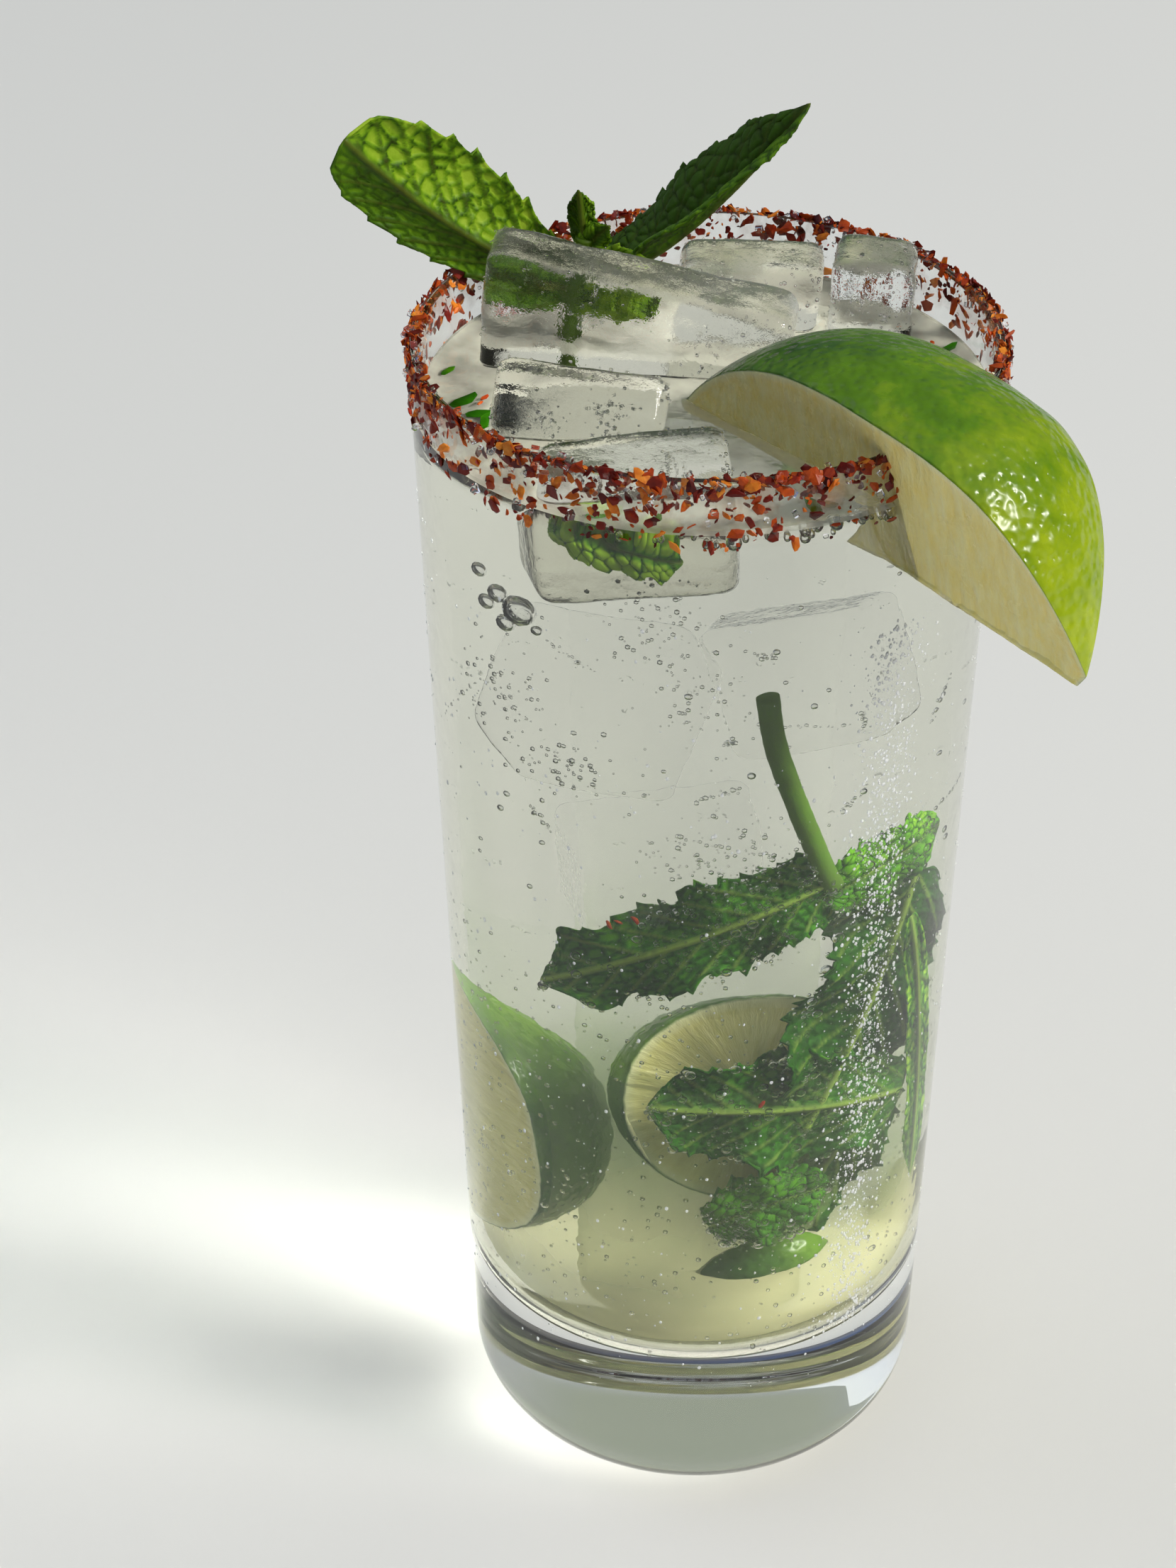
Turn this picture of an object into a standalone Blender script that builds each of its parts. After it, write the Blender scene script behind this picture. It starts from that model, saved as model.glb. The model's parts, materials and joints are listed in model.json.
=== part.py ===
"""A mojito in a tall heavy-based glass: drink, five pieces of ice, a mint sprig, a lime wedge and a
rim dipped in chili and salt.

Metres, +Z up. The origin is the middle of the glass's foot. -Y is the side that faces the viewer,
+X is to the viewer's right.
"""
import math

import bmesh
import bpy
import numpy as np
from mathutils import Euler, Matrix, Vector

# Fit between neighbouring pieces.
GAP = 0.0003
MERGE = 0.00001

# Glass: a straight taper with a thick base, a rounded heel and a thin rounded lip.
GLASS_HEIGHT = 0.150
RIM_RADIUS = 0.0330
FOOT_RADIUS = 0.0278
HEEL_RADIUS = 0.0105
LIP_THICKNESS = 0.0012
WALL_THICKNESS = 0.0020
LIP_TAPER = 0.025
BASE_THICKNESS = 0.020
FLOOR_RISE = 0.010
FLOOR_ROUNDNESS = 2.6
GLASS_STEPS = 44

# Drink.
DRINK_LEVEL = 0.143
DRINK_STEPS = 44

# Chili and salt flakes on the rim: spread by the golden angle, none under the lime wedge.
FLAKE_COUNT = 140
FLAKE_SEED = 11
FLAKE_LENGTHS = (0.0030, 0.0015)
FLAKE_BARE_AZIMUTH = math.radians(-44.5)
FLAKE_BARE_HALF = math.radians(20.0)
GOLDEN_ANGLE = math.pi * (3.0 - math.sqrt(5.0))
OUTER_BAND = 0.0075
INNER_BAND = 0.0035

# Ice: name, size along its own axes, centre, turns about X, Y and Z in degrees, seed of its form.
ICE_BLOCKS = (
    ("ice_left", (0.0355, 0.0088, 0.0250), (-0.0078, 0.0087, 0.1423), (6.0, 9.0, -7.0), 1),
    ("ice_middle", (0.0195, 0.0105, 0.0095), (-0.0142, -0.0046, 0.1424), (43.0, 7.0, -4.0), 2),
    ("ice_front", (0.0210, 0.0105, 0.0150), (-0.0080, -0.0184, 0.1386), (4.0, -2.0, 4.0), 3),
    ("ice_back", (0.0165, 0.0100, 0.0220), (0.0048, 0.0205, 0.1395), (3.0, 2.0, -4.0), 4),
    ("ice_right", (0.0100, 0.0090, 0.0220), (0.0190, 0.0148, 0.1427), (5.0, 5.0, -6.0), 5),
)
ICE_ROUNDING = 0.0024
ICE_TAPER = 0.07
ICE_SHEAR = 0.06
ICE_SEGMENTS = 3

# Lime: a sixth of a fruit, its core edge down, pushed onto the rim.
LIME_LENGTH = 0.0586
LIME_RADIUS = 0.0215
LIME_FULLNESS = 2.87
LIME_TIP = 0.91
LIME_SKEW = 0.08
LIME_HALF_WEDGE = math.radians(29.5)
LIME_CORE = 0.0008
LIME_CENTRE = Vector((0.0179, -0.0193, 0.1354))
LIME_AZIMUTH = math.radians(-44.4)
LIME_DIP = math.radians(9.9)
LIME_LEAN = math.radians(-7.0)
LIME_STEPS = 60
LIME_RINGS = 20
CUT_BOX = 0.080
SLIT_DEPTH = 0.035

# Mint sprig: a stem with leaves. Each leaf has a base, a point its midrib bends towards, a tip, a
# half width, how far out its widest place is and how blunt its tip is, the reach of its two halves as
# vectors, and its numbers of strips along and across.
STEM_RADIUS = 0.0011
STEM_POINTS = (
    (-0.0150, 0.0185, 0.1340),
    (-0.0147, 0.0181, 0.1430),
    (-0.0140, 0.0175, 0.1500),
    (-0.0134, 0.0170, 0.1540),
)
LEAF_THICKNESS = 0.0006
LEAF_DOME = 0.10
LEAF_WAVE = 0.06
STALK_WIDTH = 0.0014
LEAF_TOOTH = 0.09
MINT_LEAVES = (
    ("left", (-0.0144, 0.0178, 0.1480), (-0.0262, 0.0156, 0.1520), (-0.0396, 0.0088, 0.1696), 0.0086,
     (1.40, 0.44), (0.73, 0.46, 0.51), (-0.37, -0.04, -0.40), 16, 6),
    ("right", (-0.0139, 0.0175, 0.1480), (-0.0036, 0.0178, 0.1486), (0.0115, 0.0140, 0.1714), 0.0084,
     (1.10, 0.60), (-0.48, 0.87, 0.05), (-0.06, -0.56, 0.45), 16, 6),
    ("behind_ice", (-0.0146, 0.0180, 0.1460), (-0.0090, 0.0160, 0.1520), (-0.0052, 0.0140, 0.1466), 0.0036,
     (0.90, 0.75), (0.20, 0.25, 0.95), (-0.20, 0.10, -0.97), 8, 4),
    ("bud", (-0.0134, 0.0170, 0.1528), (-0.0138, 0.0172, 0.1570), (-0.0141, 0.0160, 0.1604), 0.0012,
     (0.85, 0.75), (0.92, 0.30, 0.20), (-0.92, 0.30, 0.20), 6, 4),
    ("bud_side", (-0.0135, 0.0170, 0.1526), (-0.0120, 0.0165, 0.1545), (-0.0106, 0.0155, 0.1560), 0.0012,
     (0.90, 0.75), (-0.50, 0.40, 0.75), (0.50, 0.40, -0.75), 6, 4),
)


def clear_scene():
    """Remove every object that the scene starts with."""
    for obj in list(bpy.data.objects):
        bpy.data.objects.remove(obj, do_unlink=True)


def new_collection(name):
    collection = bpy.data.collections.new(name)
    bpy.context.scene.collection.children.link(collection)
    return collection


def make_material(name, colour, roughness, transmission=0.0):
    """A Principled material with one colour."""
    material = bpy.data.materials.new(name)
    material.use_nodes = True
    shader = material.node_tree.nodes["Principled BSDF"]
    shader.inputs["Base Color"].default_value = (*colour, 1.0)
    shader.inputs["Roughness"].default_value = roughness
    shader.inputs["Metallic"].default_value = 0.0
    shader.inputs["Transmission Weight"].default_value = transmission
    material.diffuse_color = (*colour, 1.0)
    return material


def add_object(name, mesh, collection, material=None):
    obj = bpy.data.objects.new(name, mesh)
    collection.objects.link(obj)
    if material is not None:
        mesh.materials.append(material)
    return obj


def add_cutter(name, mesh, collection):
    """An object that only shapes others."""
    obj = add_object(name, mesh, collection)
    obj.hide_render = True
    obj.display_type = "WIRE"
    return obj


def mesh_from_bmesh(name, bm):
    mesh = bpy.data.meshes.new(name)
    bm.to_mesh(mesh)
    bm.free()
    return mesh


def smooth(obj):
    obj.data.shade_smooth()
    obj.data.set_sharp_from_angle(angle=math.radians(35.0))


def bake_modifiers(obj):
    """Give the object the mesh that its modifiers make, and take them off."""
    bpy.context.view_layer.update()
    depsgraph = bpy.context.evaluated_depsgraph_get()
    mesh = bpy.data.meshes.new_from_object(obj.evaluated_get(depsgraph))
    obj.modifiers.clear()
    obj.data = mesh
    mesh.name = obj.name


def keep_largest_shell(obj):
    """Drop every loose scrap and sealed hollow: only the shell with the most vertices stays."""
    bm = bmesh.new()
    bm.from_mesh(obj.data)
    unseen = set(bm.verts)
    shells = []
    while unseen:
        front = [unseen.pop()]
        shell = list(front)
        while front:
            for edge in front.pop().link_edges:
                for vert in edge.verts:
                    if vert in unseen:
                        unseen.remove(vert)
                        front.append(vert)
                        shell.append(vert)
        shells.append(shell)
    shells.sort(key=len)
    for shell in shells[:-1]:
        bmesh.ops.delete(bm, geom=shell, context="VERTS")
    bm.to_mesh(obj.data)
    bm.free()


def boolean(obj, operand, operation, solver="EXACT"):
    """Cut or join the object with another object, or with every object of a collection."""
    modifier = obj.modifiers.new(operation.lower(), "BOOLEAN")
    modifier.operation = operation
    modifier.solver = solver
    if isinstance(operand, bpy.types.Collection):
        modifier.operand_type = "COLLECTION"
        modifier.collection = operand
    else:
        modifier.object = operand
    return modifier


def profile_mesh(name, points, closed=False):
    """A profile in the XZ plane as a chain of edges."""
    edges = [(i, i + 1) for i in range(len(points) - 1)]
    if closed:
        edges.append((len(points) - 1, 0))
    mesh = bpy.data.meshes.new(name)
    mesh.from_pydata([(x, 0.0, z) for x, z in points], edges, [])
    return mesh


def turn(obj, steps):
    """Turn the object's profile about its own Z axis."""
    screw = obj.modifiers.new("turn", "SCREW")
    screw.steps = steps
    screw.render_steps = steps
    screw.use_merge_vertices = True
    screw.merge_threshold = MERGE
    return screw


def outer_radius(z):
    """The outer wall's straight taper."""
    return FOOT_RADIUS + (RIM_RADIUS - FOOT_RADIUS) * z / GLASS_HEIGHT


def inner_radius(z):
    """The inner wall: the outer one less a thickness that thins towards the lip."""
    below_lip = min(1.0, (GLASS_HEIGHT - z) / LIP_TAPER)
    return outer_radius(z) - LIP_THICKNESS - (WALL_THICKNESS - LIP_THICKNESS) * below_lip


def floor_points(inset, count=9):
    """The rounded inner floor from the axis out to the wall: a quarter of a superellipse."""
    top = BASE_THICKNESS + FLOOR_RISE
    radius = inner_radius(top) - inset
    points = []
    for i in range(count):
        angle = 0.5 * math.pi * i / (count - 1)
        x = radius * math.sin(angle) ** (2.0 / FLOOR_ROUNDNESS)
        z = top - FLOOR_RISE * max(0.0, math.cos(angle)) ** (2.0 / FLOOR_ROUNDNESS)
        points.append((x, z + inset))
    return points


def glass_points():
    """Inner floor and wall upwards, over the round lip, down the outer wall and round the heel."""
    points = floor_points(0.0)
    lip_radius = 0.5 * LIP_THICKNESS
    lip_z = GLASS_HEIGHT - lip_radius
    points += [(inner_radius(z), z) for z in (0.060, 0.095, GLASS_HEIGHT - LIP_TAPER)]
    lip_x = outer_radius(lip_z) - lip_radius
    for degrees in (180, 135, 90, 45, 0):
        angle = math.radians(degrees)
        points.append((lip_x + lip_radius * math.cos(angle), lip_z + lip_radius * math.sin(angle)))
    points += [(outer_radius(z), z) for z in (0.095, 0.050)]
    heel_x = outer_radius(HEEL_RADIUS) - HEEL_RADIUS
    for i in range(7):
        angle = -0.5 * math.pi * i / 6
        points.append((heel_x + HEEL_RADIUS * math.cos(angle),
                       HEEL_RADIUS + HEEL_RADIUS * math.sin(angle)))
    points.append((0.0, 0.0))
    return points


def flake_mesh(name, rng, length):
    """An uneven, angular, flattened lump."""
    bm = bmesh.new()
    bmesh.ops.create_icosphere(bm, subdivisions=1, radius=0.5)
    width = length * rng.uniform(0.55, 0.9)
    depth = length * rng.uniform(0.38, 0.5)
    for vert in bm.verts:
        uneven = rng.uniform(0.82, 1.18)
        vert.co = Vector((vert.co.x * length, vert.co.y * width, vert.co.z * depth)) * uneven
    return mesh_from_bmesh(name, bm)


def angle_between(a, b):
    return abs((a - b + math.pi) % (2.0 * math.pi) - math.pi)


def flake_place(index, rng):
    """Where flake number index sits: three in five outside, one on the lip, one inside."""
    azimuth = index * GOLDEN_ANGLE + rng.uniform(-0.05, 0.05)
    band = index % 5
    if band < 3:
        depth = OUTER_BAND * rng.uniform(0.04, 1.0) ** 1.5
        z = GLASS_HEIGHT - depth
        radius, pitch = outer_radius(z), 0.0
    elif band == 3:
        z = GLASS_HEIGHT
        radius, pitch = RIM_RADIUS - 0.5 * LIP_THICKNESS, math.radians(rng.uniform(50.0, 90.0))
    else:
        z = GLASS_HEIGHT - INNER_BAND * rng.uniform(0.2, 1.0)
        radius, pitch = inner_radius(z), math.pi
    return azimuth, radius, z, pitch


def add_flakes(collection):
    """Seeded flakes, each half sunk in the rim."""
    rng = np.random.RandomState(FLAKE_SEED)
    longest, shortest = FLAKE_LENGTHS
    for index in range(FLAKE_COUNT):
        azimuth, radius, z, pitch = flake_place(index, rng)
        length = longest + (shortest - longest) * math.sqrt(index / FLAKE_COUNT)
        if pitch > math.radians(45.0):
            length = min(length, 0.0019)
        spin = rng.uniform(0.0, 2.0 * math.pi)
        tilt = math.radians(rng.uniform(-20.0, 20.0))
        mesh = flake_mesh("flake", rng, length)
        if angle_between(azimuth, FLAKE_BARE_AZIMUTH) < FLAKE_BARE_HALF:
            continue
        flake = add_object("flake", mesh, collection)
        facing = Matrix.Rotation(azimuth, 4, "Z") @ Matrix.Rotation(0.5 * math.pi - pitch, 4, "Y")
        lie = Matrix.Rotation(spin, 4, "Z") @ Matrix.Rotation(tilt, 4, "X")
        spot = Matrix.Translation((radius * math.cos(azimuth), radius * math.sin(azimuth), z))
        flake.matrix_world = spot @ facing @ lie


def make_glass(parts, material):
    """The glass with the chili and salt flakes fused to its rim."""
    glass = add_object("glass", profile_mesh("glass", glass_points()), parts, material)
    turn(glass, GLASS_STEPS)
    bake_modifiers(glass)
    flakes = new_collection("rim_flakes")
    add_flakes(flakes)
    boolean(glass, flakes, "UNION", "MANIFOLD")
    bake_modifiers(glass)
    for flake in list(flakes.objects):
        bpy.data.objects.remove(flake, do_unlink=True)
    bpy.data.collections.remove(flakes)
    keep_largest_shell(glass)
    smooth(glass)
    return glass


def ice_mesh(name, size, seed, grow=0.0):
    """A box that tapers and leans by a seeded rule, so that its faces stay flat."""
    rng = np.random.RandomState(seed)
    taper_x, taper_y = rng.uniform(-ICE_TAPER, ICE_TAPER, 2)
    lean_x, lean_y, slope = rng.uniform(-ICE_SHEAR, ICE_SHEAR, 3)
    bm = bmesh.new()
    bmesh.ops.create_cube(bm, size=1.0)
    for vert in bm.verts:
        height = vert.co.z
        x, y, z = (value * (side + 2.0 * grow) for value, side in zip(vert.co, size))
        vert.co = Vector((x * (1.0 + taper_x * height) + lean_x * z,
                          y * (1.0 + taper_y * height) + lean_y * z,
                          z + slope * x))
    return mesh_from_bmesh(name, bm)


def add_ice(name, size, centre, turns, seed, collection, material=None, grow=0.0):
    """A block of ice with melted, rounded edges; without a material it is a cutter."""
    mesh = ice_mesh(name, size, seed, grow)
    if material is None:
        block = add_cutter(name, mesh, collection)
    else:
        block = add_object(name, mesh, collection, material)
    block.location = centre
    block.rotation_euler = Euler([math.radians(value) for value in turns])
    bevel = block.modifiers.new("melted_edges", "BEVEL")
    bevel.width = ICE_ROUNDING
    bevel.segments = ICE_SEGMENTS
    bevel.limit_method = "NONE"
    return block


def lime_frame():
    """The lime's own axes: Z along the fruit, X up through the middle of the wedge's rind."""
    axis = Vector((math.cos(LIME_AZIMUTH) * math.cos(LIME_DIP),
                   math.sin(LIME_AZIMUTH) * math.cos(LIME_DIP),
                   -math.sin(LIME_DIP)))
    up = Vector((0.0, 0.0, 1.0))
    upright = (up - axis * up.dot(axis)).normalized()
    side = axis.cross(upright)
    middle = upright * math.cos(LIME_LEAN) + side * math.sin(LIME_LEAN)
    across = axis.cross(middle)
    frame = Matrix((middle, across, axis)).transposed().to_4x4()
    return Matrix.Translation(LIME_CENTRE) @ frame


def lime_points(grow):
    """The fruit's outline from its far tip to its near tip, fuller than an ellipse, tips drawn in."""
    points = []
    for i in range(LIME_RINGS + 1):
        t = math.cos(math.pi * i / LIME_RINGS)
        skewed = t - LIME_SKEW * (1.0 - t * t)
        radius = LIME_RADIUS * max(0.0, 1.0 - abs(skewed) ** LIME_FULLNESS) ** LIME_TIP
        inner = 0 < i < LIME_RINGS
        points.append((radius + grow if inner else 0.0, t * (0.5 * LIME_LENGTH + grow)))
    return points


def add_half_space(name, angle, grow, collection):
    """A box that takes away all of the fruit beyond one cut face, which just misses the core."""
    bm = bmesh.new()
    bmesh.ops.create_cube(bm, size=CUT_BOX)
    box = add_cutter(name, mesh_from_bmesh(name, bm), collection)
    turned = Matrix.Rotation(angle, 4, "Z")
    away = Matrix.Translation((0.5 * CUT_BOX + LIME_CORE + grow, 0.0, 0.0))
    box.matrix_world = lime_frame() @ turned @ away
    return box


def add_lime(name, collection, cutters, material=None, grow=0.0):
    """A sixth of a lime: the whole turned fruit less the space beyond its two cut faces."""
    mesh = profile_mesh(name, lime_points(grow))
    if material is None:
        lime = add_cutter(name, mesh, collection)
    else:
        lime = add_object(name, mesh, collection, material)
    lime.matrix_world = lime_frame()
    turn(lime, LIME_STEPS)
    for side in (-1.0, 1.0):
        angle = side * (LIME_HALF_WEDGE + 0.5 * math.pi)
        boolean(lime, add_half_space(name + "_cut", angle, grow, cutters), "DIFFERENCE")
    return lime


def add_wall_ring(cutters):
    """The upper glass wall with room on both sides, which the slit in the lime fits."""
    top = GLASS_HEIGHT + GAP
    low = GLASS_HEIGHT - SLIT_DEPTH
    points = [
        (outer_radius(top) + GAP, top),
        (outer_radius(low) + GAP, low),
        (inner_radius(low) - GAP, low),
        (inner_radius(GLASS_HEIGHT - LIP_TAPER) - GAP, GLASS_HEIGHT - LIP_TAPER),
        (inner_radius(GLASS_HEIGHT) - GAP, top),
    ]
    ring = add_cutter("wall_ring", profile_mesh("wall_ring", points, closed=True), cutters)
    turn(ring, 2 * GLASS_STEPS)
    return ring


def make_stem(collection, material, grow, name):
    """The sprig's stem as a closed tube, longer at its foot by the same growth as its radius."""
    curve = bpy.data.curves.new(name, "CURVE")
    curve.dimensions = "3D"
    curve.bevel_depth = STEM_RADIUS + grow
    curve.bevel_resolution = 2
    curve.use_fill_caps = True
    spline = curve.splines.new("POLY")
    spline.points.add(len(STEM_POINTS) - 1)
    for point, place in zip(spline.points, STEM_POINTS):
        point.co = (*place, 1.0)
    spline.points[0].co.z -= grow
    tube = bpy.data.objects.new(name + "_curve", curve)
    collection.objects.link(tube)
    bpy.context.view_layer.update()
    depsgraph = bpy.context.evaluated_depsgraph_get()
    mesh = bpy.data.meshes.new_from_object(tube.evaluated_get(depsgraph))
    bm = bmesh.new()
    bm.from_mesh(mesh)
    bmesh.ops.remove_doubles(bm, verts=bm.verts, dist=MERGE)
    bm.to_mesh(mesh)
    bm.free()
    bpy.data.objects.remove(tube, do_unlink=True)
    if material is None:
        return add_cutter(name, mesh, collection)
    return add_object(name, mesh, collection, material)


def leaf_mesh(name, base, bend, tip, half_width, form, left, right, along, across):
    """A toothed, domed, wavy leaf as one open sheet.

    The midrib is a quadratic curve from base to tip. Each half leaves it along its own vector,
    out to a half width that grows from the stalk and closes at the tip by the leaf's form, with a
    tooth on every second strip. It is flat at both ends and folded between them, domes between midrib and edge,
    and waves along its length.
    """
    s = np.linspace(0.0, 1.0, along + 1)[:, None]
    u = np.linspace(-1.0, 1.0, across + 1)[None, :]
    base, bend, tip = np.array(base), np.array(bend), np.array(tip)
    rib = (1 - s) ** 2 * base + 2 * s * (1 - s) * bend + s ** 2 * tip
    run = 2 * (1 - s) * (bend - base) + 2 * s * (tip - bend)
    run /= np.linalg.norm(run, axis=1, keepdims=True)
    widest, bluntness = form
    half = half_width * np.clip(np.sin(math.pi * s ** widest), 0.0, 1.0) ** bluntness + 0.5 * STALK_WIDTH
    tooth = 1.0 - LEAF_TOOTH * (np.arange(along + 1) % 2)[:, None]
    reach = half * np.where(np.abs(u) == 1.0, tooth, 1.0) * np.abs(u)
    folded = np.sin(math.pi * s) ** 0.5
    sides = []
    for direction in (np.array(left), folded * np.array(right) - (1 - folded) * np.array(left)):
        sides.append(direction - run * np.sum(run * direction, axis=1, keepdims=True))
    side = np.where(u[..., None] > 0, sides[0][:, None, :], sides[1][:, None, :])
    normal = np.cross(run[:, None, :], side) * np.where(u[..., None] > 0, 1.0, -1.0)
    dome = LEAF_DOME * half * np.sin(math.pi * np.abs(u))
    wave = LEAF_WAVE * half * np.abs(u) * np.sin(5.0 * math.pi * s + 1.5 * np.sign(u))
    points = rib[:, None, :] + side * reach[..., None] + normal * (dome + wave)[..., None]
    index = np.arange((along + 1) * (across + 1)).reshape(along + 1, across + 1)
    quads = np.stack([index[:-1, :-1], index[:-1, 1:], index[1:, 1:], index[1:, :-1]], -1)
    mesh = bpy.data.meshes.new(name)
    mesh.from_pydata(points.reshape(-1, 3).tolist(), [], quads.reshape(-1, 4).tolist())
    bm = bmesh.new()
    bm.from_mesh(mesh)
    bmesh.ops.triangulate(bm, faces=bm.faces)
    bm.to_mesh(mesh)
    bm.free()
    return mesh


def make_mint(parts, material):
    """Stem and leaves fused into one sprig."""
    sprig = make_stem(parts, material, 0.0, "mint_sprig")
    leaves = new_collection("mint_leaves")
    for name, *shape in MINT_LEAVES:
        leaf = add_object(name, leaf_mesh(name, *shape), leaves)
        thick = leaf.modifiers.new("thickness", "SOLIDIFY")
        thick.thickness = LEAF_THICKNESS
        thick.offset = 0.0
        bake_modifiers(leaf)
    boolean(sprig, leaves, "UNION", "MANIFOLD")
    bake_modifiers(sprig)
    for leaf in list(leaves.objects):
        bpy.data.objects.remove(leaf, do_unlink=True)
    bpy.data.collections.remove(leaves)
    keep_largest_shell(sprig)
    smooth(sprig)
    return sprig


def make_drink(parts, cutters, material):
    """The drink up to its level, cut round what stands in it."""
    points = floor_points(GAP)
    points += [(inner_radius(z) - GAP, z) for z in (0.080, GLASS_HEIGHT - LIP_TAPER, DRINK_LEVEL)]
    points.append((0.0, DRINK_LEVEL))
    drink = add_object("drink", profile_mesh("drink", points[::-1]), parts, material)
    turn(drink, DRINK_STEPS)
    round_things = new_collection("things_in_the_drink")
    for name, size, centre, turns, seed in ICE_BLOCKS:
        add_ice(name + "_room", size, centre, turns, seed, round_things, grow=GAP)
    add_lime("lime_room", round_things, cutters, grow=GAP)
    make_stem(round_things, None, GAP, "stem_room")
    boolean(drink, round_things, "DIFFERENCE")
    smooth(drink)
    return drink


def main():
    clear_scene()
    parts = new_collection("mojito")
    cutters = new_collection("cutters")
    make_glass(parts, make_material("clear_glass", (0.90, 0.93, 0.92), 0.03, 1.0))
    ice_look = make_material("ice", (0.88, 0.92, 0.93), 0.08, 1.0)
    for name, size, centre, turns, seed in ICE_BLOCKS:
        smooth(add_ice(name, size, centre, turns, seed, parts, ice_look))
    lime = add_lime("lime_wedge", parts, cutters, make_material("lime", (0.30, 0.55, 0.05), 0.35))
    boolean(lime, add_wall_ring(cutters), "DIFFERENCE")
    smooth(lime)
    make_mint(parts, make_material("mint_leaf", (0.10, 0.32, 0.06), 0.50))
    make_drink(parts, cutters, make_material("drink", (0.80, 0.83, 0.66), 0.05, 0.8))


main()
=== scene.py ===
"""Looks for a mojito in a tall heavy-based glass, in metres, +Z up, -Y towards the viewer."""

import json
import math

import bmesh
import bpy
import numpy as np
from mathutils import Euler, Matrix, Vector

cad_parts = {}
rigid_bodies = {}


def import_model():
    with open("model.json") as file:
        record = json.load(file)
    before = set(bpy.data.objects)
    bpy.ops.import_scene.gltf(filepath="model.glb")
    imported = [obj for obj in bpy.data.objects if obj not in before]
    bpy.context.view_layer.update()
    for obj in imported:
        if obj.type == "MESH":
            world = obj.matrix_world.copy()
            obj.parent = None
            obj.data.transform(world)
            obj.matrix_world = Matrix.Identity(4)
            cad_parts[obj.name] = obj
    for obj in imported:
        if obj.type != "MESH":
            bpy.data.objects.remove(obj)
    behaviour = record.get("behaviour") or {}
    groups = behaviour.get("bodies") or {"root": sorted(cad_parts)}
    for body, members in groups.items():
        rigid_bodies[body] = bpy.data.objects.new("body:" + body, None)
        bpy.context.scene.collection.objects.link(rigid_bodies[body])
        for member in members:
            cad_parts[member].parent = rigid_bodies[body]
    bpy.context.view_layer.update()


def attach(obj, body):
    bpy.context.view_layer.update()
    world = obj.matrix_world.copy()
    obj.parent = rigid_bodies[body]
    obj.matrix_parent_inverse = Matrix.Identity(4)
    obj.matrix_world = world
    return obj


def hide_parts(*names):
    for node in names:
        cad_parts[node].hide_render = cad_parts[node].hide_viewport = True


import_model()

ABOUT_A_TURN = 6.28  # the range of random turns

# Glass, as in the solid model.
GLASS_HEIGHT = 0.150
RIM_RADIUS = 0.0330
FOOT_RADIUS = 0.0278
HEEL_RADIUS = 0.0105
LIP_THICKNESS = 0.0012
WALL_THICKNESS = 0.0020
LIP_TAPER = 0.025
BASE_THICKNESS = 0.020
FLOOR_RISE = 0.010
FLOOR_ROUNDNESS = 2.6
GLASS_STEPS = 192
STAND_GAP = 0.0003  # a film of air under the foot, so that it mirrors the drink as a real one does

# Drink: it reaches into the wall, creeps up it at the surface, and is cloudier near the floor.
DRINK_LEVEL = 0.143
WALL_REACH = 0.00015
CREEP_HEIGHT = 0.0007
CREEP_REACH = 0.0012
ICE_REACH = 0.00008
SURFACE_VEIL_DEPTH = 0.0006
RIPPLE_HEIGHT = 0.00025
TURNED_STEPS = 160
SURFACE_ROWS = 40

# Sheets of pulp in the drink: share of the inner radius, strength and top.
VEILS = ((0.965, 0.14, 0.064), (0.70, 0.58, 0.139), (0.38, 0.72, 0.137))
VEIL_STEPS = 96
VEIL_OFF_FLOOR = 0.0006
GREEN_HAZE = (-0.0085, -0.0180, 0.0560)
GREEN_HAZE_RADIUS = 0.017

# Ice: name, size, centre, turns in degrees and seed. The sunk blocks have no name.
ICE_BLOCKS = (
    ("ice_left", (0.0355, 0.0088, 0.0250), (-0.0078, 0.0087, 0.1423), (6.0, 9.0, -7.0), 1),
    ("ice_middle", (0.0195, 0.0105, 0.0095), (-0.0142, -0.0046, 0.1424), (43.0, 7.0, -4.0), 2),
    ("ice_front", (0.0210, 0.0105, 0.0150), (-0.0080, -0.0184, 0.1386), (4.0, -2.0, 4.0), 3),
    ("ice_back", (0.0165, 0.0100, 0.0220), (0.0048, 0.0205, 0.1395), (3.0, 2.0, -4.0), 4),
    ("ice_right", (0.0100, 0.0090, 0.0220), (0.0190, 0.0148, 0.1427), (5.0, 5.0, -6.0), 5),
)
SUNK_ICE = (
    ((0.0200, 0.0120, 0.0200), (-0.0110, -0.0150, 0.1150), (12.0, 14.0, 20.0), 11),
    ((0.0180, 0.0110, 0.0170), (0.0100, -0.0140, 0.1180), (-8.0, -16.0, -12.0), 12),
    ((0.0190, 0.0110, 0.0160), (-0.0040, -0.0130, 0.0930), (18.0, -9.0, 8.0), 13),
)
ICE_ROUNDING = 0.0021
ICE_TAPER = 0.07
ICE_SHEAR = 0.06
ICE_STEPS = 26
ICE_MELT = 0.00022
BEADS_A_BLOCK = 170
AIR_POCKETS = 5
AIR_A_POCKET = 26

# Lime: a wedge of a fruit that is skewed along its length, with its place and directions on the rim.
LIME_LENGTH = 0.0586
LIME_RADIUS = 0.0215
LIME_FULLNESS = 2.87
LIME_TIP = 0.91
LIME_SKEW = 0.08
LIME_HALF_WEDGE = math.radians(29.5)
LIME_CORE = 0.0008
LIME_CENTRE = Vector((0.0179, -0.0193, 0.1354))
LIME_AZIMUTH = math.radians(-44.4)
LIME_DIP = math.radians(9.9)
LIME_LEAN = math.radians(-7.0)

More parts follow.
